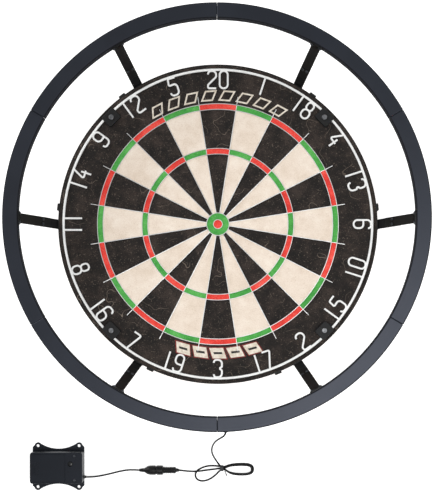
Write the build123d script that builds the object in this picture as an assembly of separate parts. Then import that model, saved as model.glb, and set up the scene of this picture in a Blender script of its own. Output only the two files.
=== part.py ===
"""Bristle dartboard with a lighting ring on six arms, its lead, and the battery pack on the lead's far end.

The board lies on its back. +Z points out of its face and +Y towards the 20. z = 0 is the plane that the
wall bracket, wall pads, leads and battery pack rest on, and the origin is on that plane, on the board's axis.
Lengths are millimetres and angles are degrees.
"""
from build123d import *
import os
from math import cos, pi, radians, sin, sqrt, tan

# ---------------------------------------------------------------- driving dimensions: board
BOARD_R = 225.5            # outside of the steel rim band
BOARD_T = 38.0             # back of the backing board to the face
STANDOFF = 12.0            # wall plane to the back of the board
BAND_T = 1.5
BACKING_T = 9.0            # chipboard behind the sisal
DYE_T = 3.0                # depth that the dye goes into the sisal
BULL_R = 6.35
OUTER_BULL_R = 15.9
TREBLE_R = (99.0, 107.0)   # inner and outer edge of the treble band
DOUBLE_R = (162.0, 170.0)
SECTORS = 20
WIRE_W = 1.1               # spider wire across, and its height above the face
WIRE_H = 1.2
RADIAL_END_R = 181.5       # outer end of the spider's radial wires
HOOP_INSET = 8.0           # number ring's hoop, in from the board's edge
HOOP_WIRE = 3.4
DIGIT_WIRE = 2.8
DIGIT_H = 24.4             # digit height and half width, on the wire's centre line
DIGIT_HALF_W = 5.7
DIGIT_PITCH = 16.4         # between the two digits of a number
NUMBERS = (20, 1, 18, 4, 13, 6, 10, 15, 2, 17, 3, 19, 7, 16, 8, 11, 14, 9, 12, 5)   # clockwise from the top
CLIP_SIZE = (22.0, 18.0)   # number ring clip: tangential, radial
CLIP_PLATE_T = 1.5
CLIP_SCREW_INSET = 5.5     # clip's screw, in from the hoop
CLIP_HEAD_R = 3.7
CLIP_SCREW_SHANK_R = 1.75
CLIP_SCREW_DEPTH = 14.0
PAD_R = 15.0               # wall pads
PAD_INSET = 39.5           # pad's middle, in from the board's edge

# ---------------------------------------------------------------- wall bracket and hanger screw
BRACKET_PLATE = (64.0, 44.0)
BRACKET_T = 1.6
BRACKET_HOLES = (48.0, 28.0)
BRACKET_HOLE_R = 2.25
POCKET_HALF_W = 13.0       # inside of the raised pocket that the hanger screw's head drops into
POCKET_HALF_H = 14.0
POCKET_TOP_Z = 8.6
HANGER_SHANK_R = 2.5
HANGER_HEAD_R = 5.5
HANGER_HEAD_T = 3.0
HANGER_GRIP = 8.0          # screw length inside the backing board
SLOT_CLEARANCE = 0.3
HEAD_GAP = 1.2             # hanger head's front to the pocket's front wall

# ---------------------------------------------------------------- lighting ring
RING_GAP = 39.0            # rim band to the ring's inner wall
RING_W = 20.5
RING_REACH = 80.0          # ring's front, in front of the face
RING_DEPTH = 18.0
RING_WALL = 1.8
RING_INNER_WALL_H = 11.5
RING_FLANGE_W = 9.0        # back flange, inwards from the outer wall
RING_CHAMFER = 0.8
SEGMENTS = 6
SEAM_GAP = 0.5
NOTCH = 2.4                # notch in the ring's outer edge at a seam
DIFFUSER_T = 1.5
LED_PITCH = 16.7
LED_SIZE = 5.0
LED_T = 1.6
LED_STRIP = (8.0, 0.6)     # strip width and thickness
JOINER = (30.0, 11.0, 1.6) # tangential, radial, thick
GLAND_ANGLE = 272.3        # where the lead leaves the ring
GLAND_RISE = 6.0           # gland's axis, in front of the ring's back
GLAND_R = 2.2
GLAND_LIP = 1.5

# ---------------------------------------------------------------- arms
ARMS = 6
ARM_W = 13.5
ARM_SLOPE = 60.5           # rise of the sloping stretch
BRACKET_STRIP_T = 1.6      # lower strip, bent steel
STRUT_T = 1.8              # upper strip
HOOK_REACH = 19.0          # how far the lower strip reaches under the board
HOOK_CLEARANCE = 0.1
BRACKET_SLOPE_LEN = 48.0
STRUT_START = 18.0         # where the upper strip starts, up the slope
FOOT_W = 19.0
FOOT_TOP_GAP = 0.9         # foot's top below the ring's front
FOOT_CLEARANCE = 0.02
ARM_SCREW_AT = 33.0        # up the slope
ARM_SCREW_SPREAD = 6.6
ARM_SCREW = (2.1, 1.5, 1.3, 5.2)     # head radius, head height, shank radius, shank length
FOOT_SCREW = (2.0, 1.4, 1.2, 5.0)
FOOT_SCREW_SPREAD = 12.4
LUG_ANGLES = (6.2, 53.7, 126.7, 173.8, 244.9, 292.1)
LUG_SIZE = (10.0, 2.8, 12.0)         # tangential, radial, along the rim's height

# ---------------------------------------------------------------- leads and connector
CORD_D = 2.5
PLUG_AXIS = (-353.5, 6.9)            # y and z of the connector's axis
SOCKET_REAR_X = -115.2
MEET_X = -80.2                       # where plug and socket meet
PLUG_REAR_X = -57.2
SOCKET_R = 6.85
PLUG_R = 4.75
BARREL_R = 2.75
BARREL_LEN = 10.0
BARREL_BORE_R = 1.15
PIN_CLEARANCE = 0.1
BARREL_CLEARANCE = 0.08
TIE_CENTRE = (4.8, -351.2, 3.4)
TIE_SIZE = (5.0, 8.6, 6.4)
HANK_BAND = 5.2                      # two turns side by side
HANK_T = 4.8

# ---------------------------------------------------------------- battery pack, in its own place on the wall plane
PACK_AT = (-233.9, -348.5)
PACK_L = 75.5
PACK_W = 45.0
PACK_H = 22.0
PACK_WALL = 2.4
PACK_TOP_T = 1.8
PACK_BASE_T = 2.4
PACK_CORNER = 3.0
EAR_SPACING = 60.0
EAR_R = 4.9
EAR_HOLE_R = 2.25
WAIST_FLANGE = 3.1                   # base plate beyond the housing, at its waist
DIVIDER_X = 13.0                     # wall between the cells and the circuit board, from the pack's middle
DIVIDER_T = 1.2
COVER_T = 2.1
TONGUE = (0.9, 0.6, 1.1)             # cover tongue: reach, thickness, top of it below the pack's top
SLIDE_GAP = 0.3
BUTTON_AT = (20.5, 6.0)
BUTTON_R = 3.4
BUTTON_FLANGE = (4.3, 1.2)
BUTTON_HOLE_R = 3.8
BUTTON_PROUD = 0.4
BUTTON_TRAVEL = 1.0
STEM_R = 1.5
PACK_SCREW_X = 26.5
PACK_SCREW_INSET = 5.1               # in from the pack's long side
PACK_SCREW = (2.0, 1.1, 1.1, 14.0)
BOSS_R = 3.0
BOARD_SIZE = (18.0, 25.0, 1.6)       # circuit board, across, along and thick
BOARD_Z = 7.0
SWITCH_SIZE = (6.0, 6.0, 2.0)
CELL_R = 5.25
CELL_LEN = 44.5
CELL_GAP = 0.8                       # between neighbouring cells
CELL_Z = 9.5
NUB = (1.9, 1.2)
CONTACT_T = 0.4
SPRING_WIRE = 0.6
SPRING_R = 2.9
PACK_LEAD_Y = -15.0                  # lead's exit, from the pack's middle
PACK_LEAD_Z = 6.2
PACK_GLAND_LEN = 3.5

# ---------------------------------------------------------------- worked out from the above
BACK_Z = STANDOFF
FACE_Z = STANDOFF + BOARD_T
BED_Z = STANDOFF + BACKING_T
BED_R = BOARD_R - BAND_T
HOOP_R = BOARD_R - HOOP_INSET
CLIP_SCREW_R = HOOP_R - CLIP_SCREW_INSET
PAD_CIRCLE_R = BOARD_R - PAD_INSET
RING_INNER_R = BOARD_R + RING_GAP
RING_R = RING_INNER_R + RING_W
RING_FRONT_Z = FACE_Z + RING_REACH
RING_BACK_Z = RING_FRONT_Z - RING_DEPTH
GLAND_Z = RING_BACK_Z + GLAND_RISE
SECTOR_SPAN = 360.0 / SECTORS
SEGMENT_SPAN = 360.0 / SEGMENTS
PACK_X, PACK_Y = PACK_AT
PACK_SCREW_Y = PACK_W / 2 - PACK_SCREW_INSET
WAIST_HALF = PACK_W / 2 + WAIST_FLANGE
CELL_PITCH = 2 * CELL_R + CELL_GAP
HOOP_Z = FACE_Z + HOOP_WIRE / 2

CREAM, BLACK = 1, 0


# ---------------------------------------------------------------- helpers
def polar(radius, angle, z=0.0):
    return Vector(radius * cos(radians(angle)), radius * sin(radians(angle)), z)


def flat(sketch, z0, z1):
    """A flat outline raised from z0 to z1."""
    return Pos(0, 0, z0) * extrude(sketch, z1 - z0)


def disc(radius, z0, z1):
    return flat(Circle(radius), z0, z1)


def band(r_in, r_out, z0, z1):
    return flat(Circle(r_out) - Circle(r_in), z0, z1)


def block(x0, x1, y0, y1, z0, z1):
    return Pos((x0 + x1) / 2, (y0 + y1) / 2, (z0 + z1) / 2) * Box(x1 - x0, y1 - y0, z1 - z0)


def sector(r_in, r_out, start, end):
    """Flat annular sector, between two radii and two angles."""
    middle = (start + end) / 2
    outer = ThreePointArc(polar(r_out, start), polar(r_out, middle), polar(r_out, end))
    inner = ThreePointArc(polar(r_in, end), polar(r_in, middle), polar(r_in, start))
    return make_face([outer, Line(outer @ 1, inner @ 0), inner, Line(inner @ 1, outer @ 0)])


def profile(points):
    """Closed outline of (radius, height) points, standing on the XZ plane."""
    corners = [Vector(r, 0, z) for r, z in points]
    return make_face(Polyline(*corners, close=True))


def arc_run(points, start, end):
    """A (radius, height) outline swept about Z from one angle to another."""
    return Rot(0, 0, start) * revolve(profile(points), Axis.Z, end - start)


def strip_outline(points, thickness):
    """Outline of a strip of one thickness that follows (radius, height) points, with mitred bends."""
    directions = [(Vector(b[0] - a[0], b[1] - a[1])).normalized() for a, b in zip(points, points[1:])]
    left, right = [], []
    for i, point in enumerate(points):
        before = directions[max(i - 1, 0)]
        after = directions[min(i, len(directions) - 1)]
        normal = (Vector(-before.Y, before.X) + Vector(-after.Y, after.X)).normalized()
        reach = thickness / 2 / normal.dot(Vector(-after.Y, after.X))
        left.append((point[0] + normal.X * reach, point[1] + normal.Y * reach))
        right.append((point[0] - normal.X * reach, point[1] - normal.Y * reach))
    return left + right[::-1]


def strip(points, thickness, width):
    """The strip, at angle 0, with its width along Y."""
    return extrude(profile(strip_outline(points, thickness)), width / 2, both=True)


def bar(start, direction, radius, length):
    """Round bar from a point along a direction."""
    return extrude(Plane(origin=start, z_dir=direction) * Circle(radius), length)


def screw(seat, direction, size):
    """Pan-head screw. seat is under the head, and direction points down the shank."""
    head_r, head_t, shank_r, shank_len = size
    seat, direction = Vector(*seat), Vector(*direction).normalized()
    head = bar(seat - direction * head_t, direction, head_r, head_t)
    head = fillet(head.faces().sort_by(Axis(seat, direction))[0].edges(), head_t * 0.45)
    drive = extrude(Plane(origin=seat - direction * head_t, z_dir=direction) * RegularPolygon(head_r * 0.45, 6),
                    head_t * 0.5)
    return head - drive + bar(seat, direction, shank_r, shank_len)


def around(shape, count, first=0.0):
    return [Rot(0, 0, first + i * 360.0 / count) * shape for i in range(count)]


def group(*shapes):
    """One node of separate solids."""
    solids = []
    for shape in shapes:
        for item in (shape if isinstance(shape, (list, tuple)) else [shape]):
            solids += item.solids()
    return Compound(solids)


def cord_tube(name, points, diameter=CORD_D):
    """Round cord along straight runs joined by tangent arcs, each as large as its two runs allow."""
    corners = [Vector(*p) for p in points]
    radii = []
    for before, here, after in zip(corners, corners[1:], corners[2:]):
        shorter = min((here - before).length, (after - here).length)
        radii.append(0.45 * shorter / tan(radians((here - before).get_angle(after - here) / 2)))
    path = FilletPolyline(*corners, radius=radii)
    tube = sweep(Plane(origin=path @ 0, z_dir=path % 0) * Circle(diameter / 2), path=path)
    ideal = pi * diameter ** 2 / 4 * path.length
    print(f"{name}: length {path.length:.1f}, volume / ideal {tube.volume / ideal:.4f}, least radius "
          f"{min(radii):.1f}, radii {[round(r, 1) for r in radii]}")
    return tube


# ---------------------------------------------------------------- board
def backing_board():
    board = disc(BED_R, BACK_Z, BED_Z)
    return board - bar((0, 0, BACK_Z), (0, 0, 1), HANGER_SHANK_R, HANGER_GRIP + 0.5)


def sector_faces(colour, bands):
    """Sectors of one parity, over each band of radii. Sector 0 is the 20, at the top, and counts as black."""
    faces = []
    for i in range(SECTORS):
        if i % 2 == colour:
            middle = 90.0 - i * SECTOR_SPAN
            faces += [sector(r0, r1, middle - SECTOR_SPAN / 2, middle + SECTOR_SPAN / 2) for r0, r1 in bands]
    return faces


SINGLES = ((OUTER_BULL_R, TREBLE_R[0]), (TREBLE_R[1], DOUBLE_R[0]))
SCORING = (TREBLE_R, DOUBLE_R)
CLIP_ANGLES = [45.0 + 90.0 * i for i in range(4)]


def sisal_bed():
    bed = disc(BED_R, BED_Z, FACE_Z - DYE_T) + band(DOUBLE_R[1], BED_R, FACE_Z - DYE_T, FACE_Z)
    for face in sector_faces(BLACK, SINGLES):
        bed += flat(face, FACE_Z - DYE_T, FACE_Z)
    for angle in CLIP_ANGLES:
        start = polar(CLIP_SCREW_R, angle, FACE_Z)
        bed -= bar(start, (0, 0, -1), CLIP_SCREW_SHANK_R, CLIP_SCREW_DEPTH)
    return bed


def dyed(faces):
    return [flat(face, FACE_Z - DYE_T, FACE_Z) for face in faces]


def rim_band():
    hoop = band(BED_R, BOARD_R, BACK_Z, FACE_Z)
    return fillet(hoop.edges().filter_by(GeomType.CIRCLE).group_by(Axis.Z)[-1].sort_by(SortBy.RADIUS)[-1], 0.6)


def spider_grid():
    grid = None
    for radius in TREBLE_R + DOUBLE_R:
        ring = band(radius - WIRE_W / 2, radius + WIRE_W / 2, FACE_Z, FACE_Z + WIRE_H)
        grid = ring if grid is None else grid + ring
    radials = []
    start = OUTER_BULL_R + WIRE_W / 2
    for i in range(SECTORS):
        wire = block(start, RADIAL_END_R, -WIRE_W / 2, WIRE_W / 2, FACE_Z, FACE_Z + WIRE_H)
        radials.append(Rot(0, 0, (i + 0.5) * SECTOR_SPAN) * wire)
    return grid + radials


def bull_rings():
    return [band(r - WIRE_W / 2, r + WIRE_W / 2, FACE_Z, FACE_Z + WIRE_H) for r in (BULL_R, OUTER_BULL_R)]


def number_hoop():
    return Pos(0, 0, HOOP_Z) * Torus(HOOP_R, HOOP_WIRE / 2)


def digit_wires(digit):
    """Each wire of a digit: its (across, up) corners, its bend radii, and whether it is closed."""
    w, h = DIGIT_HALF_W, DIGIT_H
    six = ([(w, 0.83 * h), (w, h), (-w, h), (-w, 0), (w, 0), (w, 0.56 * h), (-w, 0.56 * h)],
           [3.5, w - 0.3, w - 0.3, w - 0.3, w - 0.3], False)
    shapes = {
        0: [([(-w, 0), (w, 0), (w, h), (-w, h)], [w - 0.2] * 4, True)],
        1: [([(0, 0), (0, h)], [], False)],
        2: [([(-w, 0.8 * h), (-w, h), (w, h), (w, 0.66 * h), (-w, 0.2 * h), (-w, 0), (w, 0)],
             [4.4, w - 0.3, 4.0, 2.2, 2.2], False)],
        3: [([(-w, 0.83 * h), (-w, h), (w, h), (w, 0.6 * h), (0.25 * w, 0.5 * h), (w, 0.4 * h), (w, 0), (-w, 0),
              (-w, 0.17 * h)], [3.8, w - 0.3, 1.8, 1.6, 1.8, w - 0.3, 3.8], False)],
        4: [([(0.4 * w, h), (-w, 0.36 * h), (w, 0.36 * h)], [1.8], False),
            ([(0.5 * w, 0.6 * h), (0.5 * w, 0)], [], False)],
        5: [([(w, h), (-0.75 * w, h), (-w, 0.6 * h), (w, 0.64 * h), (w, 0), (-w, 0), (-w, 0.17 * h)],
             [1.8, 1.8, w - 1.0, w - 0.6, 3.8], False)],
        6: [six],
        7: [([(-w, h), (w, h), (-0.2 * w, 0)], [1.8], False)],
        8: [([(-w, 0), (w, 0), (w, 0.54 * h), (-w, 0.54 * h)], [w - 0.2] * 4, True),
            ([(-0.5 * w, 0.54 * h), (-0.85 * w, 0.66 * h), (-0.85 * w, h), (0.85 * w, h), (0.85 * w, 0.66 * h),
              (0.5 * w, 0.54 * h)], [3.0, 4.5, 4.5, 3.0], False)],
        9: [([(-u, h - v) for u, v in six[0]], six[1], False)],
    }
    return shapes[digit]


def digit_solid(digit):
    """One digit of bent wire, upright on the XY plane, with its feet at y = 0 and its wire resting on z = 0."""
    solid = None
    for corners, radii, closed in digit_wires(digit):
        corners = [Vector(u, v, DIGIT_WIRE / 2) for u, v in corners]
        if radii:
            path = FilletPolyline(*corners, radius=radii, close=closed)
        else:
            path = Line(*corners)
        wire = sweep(Plane(origin=path @ 0, z_dir=path % 0) * Circle(DIGIT_WIRE / 2), path=path)
        solid = wire if solid is None else solid + wire
    return solid


def number_digits():
    digits = {d: digit_solid(d) for d in range(10)}
    placed = []
    outer = HOOP_R - HOOP_WIRE / 2                      # the digits' outer ends are welded to the hoop
    for i, number in enumerate(NUMBERS):
        angle = 90.0 - i * SECTOR_SPAN
        upright = sin(radians(angle)) < -0.25           # lower numbers have their feet outwards
        if upright:
            place = Rot(0, 0, angle + 90) * Pos(0, -outer, FACE_Z)
        else:
            place = Rot(0, 0, angle - 90) * Pos(0, outer - DIGIT_H, FACE_Z)
        text = str(number)
        for j, digit in enumerate(text):
            across = (j - (len(text) - 1) / 2) * DIGIT_PITCH
            placed.append(place * Pos(across, 0, 0) * digits[int(digit)])
    return placed


def number_clips():
    tangential, radial = CLIP_SIZE
    top = FACE_Z + HOOP_WIRE + CLIP_PLATE_T
    plate = Pos(CLIP_SCREW_R, 0, (FACE_Z + top) / 2) * Box(radial, tangential, top - FACE_Z)
    plate = fillet(plate.edges().filter_by(Axis.Z), 3.0)
    plate = fillet(plate.faces().sort_by(Axis.Z)[-1].edges(), 1.0)
    plate -= Pos(0, 0, HOOP_Z) * Torus(HOOP_R, HOOP_WIRE / 2 + 0.05)
    plate -= band(HOOP_R - HOOP_WIRE / 2 - 0.05, HOOP_R + HOOP_WIRE / 2 + 0.05, FACE_Z - 1, HOOP_Z)
    plate -= bar((CLIP_SCREW_R, 0, top), (0, 0, -1), CLIP_SCREW_SHANK_R, top)
    return around(plate, 4, CLIP_ANGLES[0])


def number_clip_screws():
    top = FACE_Z + HOOP_WIRE + CLIP_PLATE_T
    size = (CLIP_HEAD_R, 1.8, CLIP_SCREW_SHANK_R, CLIP_SCREW_DEPTH + top - FACE_Z - 0.5)
    return around(screw((CLIP_SCREW_R, 0, top), (0, 0, -1), size), 4, CLIP_ANGLES[0])


def wall_pads():
    pad = disc(PAD_R, 0, BACK_Z)
    pad = chamfer(pad.edges().group_by(Axis.Z)[0], 1.0)
    return [Pos(*polar(PAD_CIRCLE_R, angle)) * pad for angle in (90, 210, 330)]


# ---------------------------------------------------------------- hanging
def hanger_screw():
    head_top = POCKET_TOP_Z - BRACKET_T - HEAD_GAP
    size = (HANGER_HEAD_R, HANGER_HEAD_T, HANGER_SHANK_R, BACK_Z + HANGER_GRIP - head_top)
    return screw((0, 0, head_top), (0, 0, 1), size)


def wall_bracket():
    half_w, half_h = BRACKET_PLATE[0] / 2, BRACKET_PLATE[1] / 2
    plate = block(-half_w, half_w, -half_h, half_h, 0, BRACKET_T)
    plate = fillet(plate.edges().filter_by(Axis.Z), 5.0)
    outer_w, outer_h = POCKET_HALF_W + BRACKET_T, POCKET_HALF_H + BRACKET_T
    pocket = block(-outer_w, outer_w, -outer_h, POCKET_HALF_H, BRACKET_T, POCKET_TOP_Z)
    pocket -= block(-POCKET_HALF_W, POCKET_HALF_W, -POCKET_HALF_H, outer_h, BRACKET_T, POCKET_TOP_Z - BRACKET_T)
    slot_r = HANGER_SHANK_R + SLOT_CLEARANCE
    pocket -= disc(slot_r, BRACKET_T, POCKET_TOP_Z + 1)
    pocket -= block(-slot_r, slot_r, 0, outer_h, POCKET_TOP_Z - BRACKET_T - 1, POCKET_TOP_Z + 1)
    bracket = plate + pocket
    for x in (-BRACKET_HOLES[0] / 2, BRACKET_HOLES[0] / 2):
        for y in (-BRACKET_HOLES[1] / 2, BRACKET_HOLES[1] / 2):
            bracket -= bar((x, y, -1), (0, 0, 1), BRACKET_HOLE_R, BRACKET_T + 2)
    return bracket


# ---------------------------------------------------------------- lighting ring
def ring_section():
    """Channel outline: outer wall, front, short inner wall and back flange."""
    r0, r1, z0, z1, t, c = RING_INNER_R, RING_R, RING_BACK_Z, RING_FRONT_Z, RING_WALL, RING_CHAMFER
    inner_low = z1 - RING_INNER_WALL_H
    return [(r1, z0), (r1, z1 - c), (r1 - c, z1), (r0 + c, z1), (r0, z1 - c), (r0, inner_low), (r0 + t, inner_low),
            (r0 + t, z1 - t), (r1 - t, z1 - t), (r1 - t, z0 + t), (r1 - RING_FLANGE_W, z0 + t),
            (r1 - RING_FLANGE_W, z0)]


def ring_segment(index):
    middle = index * SEGMENT_SPAN
    half = SEGMENT_SPAN / 2
    seam = SEAM_GAP / 2 / radians(RING_R)
    shell = arc_run(ring_section(), -half + seam, half - seam)
    for end in (-half, half):
        shell -= Rot(0, 0, end) * (Pos(RING_R, 0, RING_FRONT_Z) * Box(NOTCH, NOTCH, RING_DEPTH))
    foot_z = foot_screw_z()
    for side in (-1, 1):
        shell -= bar((RING_INNER_R - 1, side * FOOT_SCREW_SPREAD / 2, foot_z), (1, 0, 0), FOOT_SCREW[2], 4)
    shell = Rot(0, 0, middle) * shell
    if abs(GLAND_ANGLE - middle) < half:
        start = polar(RING_R - 2 * RING_WALL, GLAND_ANGLE, GLAND_Z)
        shell -= bar(start, polar(1, GLAND_ANGLE), GLAND_R, 3 * RING_WALL)
    return shell


def ring_diffusers():
    r_low, r_high = RING_INNER_R + 0.2, RING_R - RING_FLANGE_W - 0.1
    z_high = RING_FRONT_Z - RING_INNER_WALL_H - 0.1
    outline = [(r_low, z_high), (r_high, RING_BACK_Z + 0.1), (r_high, RING_BACK_Z + 0.1 + DIFFUSER_T * 1.2),
               (r_low + DIFFUSER_T * 1.2, z_high)]
    half = SEGMENT_SPAN / 2 - 0.2
    return around(arc_run(outline, -half, half), SEGMENTS)


def led_strips():
    width, thick = LED_STRIP
    face_r = RING_R - RING_WALL
    middle = (RING_FRONT_Z - RING_WALL + RING_BACK_Z + RING_WALL) / 2
    outline = [(face_r - thick, middle - width / 2), (face_r, middle - width / 2), (face_r, middle + width / 2),
               (face_r - thick, middle + width / 2)]
    half = SEGMENT_SPAN / 2 - 2.0
    tape = arc_run(outline, -half, half)
    step = LED_PITCH / radians(face_r)
    count = int(2 * (half - 1.5) / step)
    chips = []
    for i in range(count):
        angle = (i - (count - 1) / 2) * step
        chip = Pos(face_r - thick - LED_T / 2, 0, middle) * Box(LED_T, LED_SIZE, LED_SIZE)
        chips.append(Rot(0, 0, angle) * chip)
    return around(tape, SEGMENTS) + [Rot(0, 0, i * SEGMENT_SPAN) * chip for i in range(SEGMENTS) for chip in chips]


def ring_joiners():
    length, width, thick = JOINER
    middle_r = (RING_INNER_R + RING_R) / 2
    half = length / 2 / radians(middle_r)
    z1 = RING_FRONT_Z - RING_WALL
    outline = [(middle_r - width / 2, z1 - thick), (middle_r + width / 2, z1 - thick), (middle_r + width / 2, z1),
               (middle_r - width / 2, z1)]
    return around(arc_run(outline, -half, half), SEGMENTS, SEGMENT_SPAN / 2)


def ring_gland():
    start = polar(RING_R - RING_WALL, GLAND_ANGLE, GLAND_Z)
    out = polar(1, GLAND_ANGLE)
    lip = bar(polar(RING_R, GLAND_ANGLE, GLAND_Z), out, GLAND_R + 0.5, GLAND_LIP)
    return bar(start, out, GLAND_R, RING_WALL) + lip


# ---------------------------------------------------------------- arms
SLOPE = (cos(radians(ARM_SLOPE)), sin(radians(ARM_SLOPE)))
SLOPE_OUT = (-SLOPE[1], SLOPE[0])                      # square to the slope, towards the front
BEND_R = BOARD_R + HOOK_CLEARANCE + BRACKET_STRIP_T / 2
BEND_Z = FACE_Z + BRACKET_STRIP_T / 2
STRIP_OFFSET = (BRACKET_STRIP_T + STRUT_T) / 2


def on_slope(distance, lift=0.0):
    """(radius, height) of a point up the lower strip's centre line, lifted square to it."""
    return (BEND_R + SLOPE[0] * distance + SLOPE_OUT[0] * lift, BEND_Z + SLOPE[1] * distance + SLOPE_OUT[1] * lift)


def foot_r():
    """The flat foot's edges touch the round inner wall, so its middle stands off by the arc's rise."""
    return sqrt(RING_INNER_R ** 2 - (FOOT_W / 2) ** 2) - STRUT_T / 2 - FOOT_CLEARANCE


def foot_start():
    """Where the upper strip turns up along the ring's inner wall."""
    distance = (foot_r() - BEND_R - SLOPE_OUT[0] * STRIP_OFFSET) / SLOPE[0]
    return on_slope(distance, STRIP_OFFSET)


def foot_screw_z():
    return (foot_start()[1] + RING_FRONT_Z - FOOT_TOP_GAP) / 2 + 0.6


def arm_holes(piece):
    for side in (-1, 1):
        r, z = on_slope(ARM_SCREW_AT, -4)
        piece -= bar((r, side * ARM_SCREW_SPREAD / 2, z), (SLOPE_OUT[0], 0, SLOPE_OUT[1]), ARM_SCREW[2], 10)
    return piece


def arm_bracket():
    """Lower strip: hooks under the board, runs up its rim and leans out over the first part of the slope."""
    low_z = BACK_Z - HOOK_CLEARANCE - BRACKET_STRIP_T / 2
    points = [(BEND_R - HOOK_REACH, low_z), (BEND_R, low_z), (BEND_R, BEND_Z), on_slope(BRACKET_SLOPE_LEN)]
    return arm_holes(strip(points, BRACKET_STRIP_T, ARM_W))


def arm_strut():
    """Upper strip: lies on the lower one, and ends in a wider foot on the ring's inner wall."""
    turn_r, turn_z = foot_start()
    top_z = RING_FRONT_Z - FOOT_TOP_GAP
    piece = arm_holes(strip([on_slope(STRUT_START, STRIP_OFFSET), (turn_r, turn_z), (turn_r, top_z)], STRUT_T, ARM_W))
    foot = Pos(turn_r, 0, (turn_z + top_z) / 2 + 0.4) * Box(STRUT_T, FOOT_W, top_z - turn_z - 0.8)
    foot = fillet(foot.edges().filter_by(Axis.X), 2.0)
    piece += foot
    for side in (-1, 1):
        piece -= bar((turn_r - 3, side * FOOT_SCREW_SPREAD / 2, foot_screw_z()), (1, 0, 0), FOOT_SCREW[2], 6)
    return piece


def arm_screws():
    r, z = on_slope(ARM_SCREW_AT, STRIP_OFFSET + STRUT_T / 2)
    pair = [screw((r, side * ARM_SCREW_SPREAD / 2, z), (-SLOPE_OUT[0], 0, -SLOPE_OUT[1]), ARM_SCREW)
            for side in (-1, 1)]
    return [piece for one in pair for piece in around(one, ARMS)]


def foot_screws():
    seat_r = foot_r() - STRUT_T / 2
    pair = [screw((seat_r, side * FOOT_SCREW_SPREAD / 2, foot_screw_z()), (1, 0, 0), FOOT_SCREW) for side in (-1, 1)]
    return [piece for one in pair for piece in around(one, ARMS)]


def rim_lugs():
    across, proud, tall = LUG_SIZE
    lug = block(BOARD_R - 2, BOARD_R + proud, -across / 2, across / 2, FACE_Z - tall, FACE_Z)
    lug = fillet(lug.faces().sort_by(Axis.X)[-1].edges(), 1.2) - disc(BOARD_R + 0.02, 0, FACE_Z + 1)
    return [Rot(0, 0, angle) * lug for angle in LUG_ANGLES]


# ---------------------------------------------------------------- leads
LEAD_START = polar(RING_R + GLAND_LIP, GLAND_ANGLE, GLAND_Z)
LEAD_POINTS = [tuple(LEAD_START), (11.2, -293.0, 116.6), (7.6, -298.6, 109.6), (1.8, -301.2, 99.5),
               (-3.4, -304.4, 87.0), (-7.0, -309.8, 72.0), (-8.8, -316.8, 55.5), (-8.6, -324.4, 37.5),
               (-6.2, -332.6, 21.0), (-2.0, -340.6, 9.5), (3.0, -348.4, 4.8)]
LOOP_POINTS = [(3.0, -348.8, 1.7), (-6.6, -347.6, 1.5), (-16.5, -348.0, 2.2), (-24.8, -350.7, 4.2),
               (-31.0, -354.2, 4.6), (-34.4, -361.4, 3.2), (-31.0, -368.6, 1.6), (-23.0, -370.6, 1.4),
               (-13.6, -368.2, 1.4), (-5.0, -362.5, 1.5), (3.0, -353.9, 1.8)]
TAIL_POINTS = [(3.0, -351.4, 1.6), (-5.2, -352.9, 1.3), (-14.2, -353.8, 1.3), (-30.9, -356.3, 1.35),
               (-46.0, -355.6, 3.4), (PLUG_REAR_X, PLUG_AXIS[0], PLUG_AXIS[1])]
PACK_LEAD_POINTS = [(PACK_X + PACK_L / 2 + PACK_GLAND_LEN, PACK_Y + PACK_LEAD_Y, PACK_LEAD_Z), (-184.0, -363.9, 4.3),
                    (-172.0, -362.5, 1.9), (-158.5, -359.6, 1.35), (-146.0, -356.3, 1.5), (-133.5, -353.8, 3.0),
                    (-123.5, -353.2, 5.6), (SOCKET_REAR_X, PLUG_AXIS[0], PLUG_AXIS[1])]
HANK_POINTS = [(7.0, -351.2), (17.0, -347.4), (31.0, -346.6), (44.5, -347.2), (49.4, -352.7), (44.5, -358.4),
               (31.0, -359.2), (17.0, -357.8)]
HANK_OUTER_RADII = [3.6, 14.0, 60.0, 7.0, 7.0, 7.0, 60.0, 14.0]
HANK_INNER_RADII = [1.2, 9.0, 50.0, 2.0, 2.0, 2.0, 50.0, 9.0]


def widened(corners, amount):
    """Corners of a closed clockwise outline, each moved outwards so that its sides shift by one amount."""
    moved = []
    for i, corner in enumerate(corners):
        before = (Vector(*corner) - Vector(*corners[i - 1])).normalized()
        after = (Vector(*corners[(i + 1) % len(corners)]) - Vector(*corner)).normalized()
        normal = (Vector(-before.Y, before.X) + Vector(-after.Y, after.X)).normalized()
        moved.append(Vector(*corner) + normal * (amount / normal.dot(Vector(-after.Y, after.X))))
    return moved


def lead_hank():
    """Outer shape of two flat turns, lying on the wall plane."""
    outer = FilletPolyline(*widened(HANK_POINTS, HANK_BAND / 2), radius=HANK_OUTER_RADII, close=True)
    inner = FilletPolyline(*widened(HANK_POINTS, -HANK_BAND / 2), radius=HANK_INNER_RADII, close=True)
    return flat(make_face(outer) - make_face(inner), 0.0, HANK_T)


def hank_tie():
    return fillet((Pos(*TIE_CENTRE) * Box(*TIE_SIZE)).edges().filter_by(Axis.X), 2.4)


def turned(points):
    """(x, radius) outline spun about the connector's axis."""
    y, z = PLUG_AXIS
    face = make_face(Polyline(*[Vector(x, y, z + r) for x, r in points], close=True))
    return revolve(face, Axis((0, y, z), (1, 0, 0)))


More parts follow.
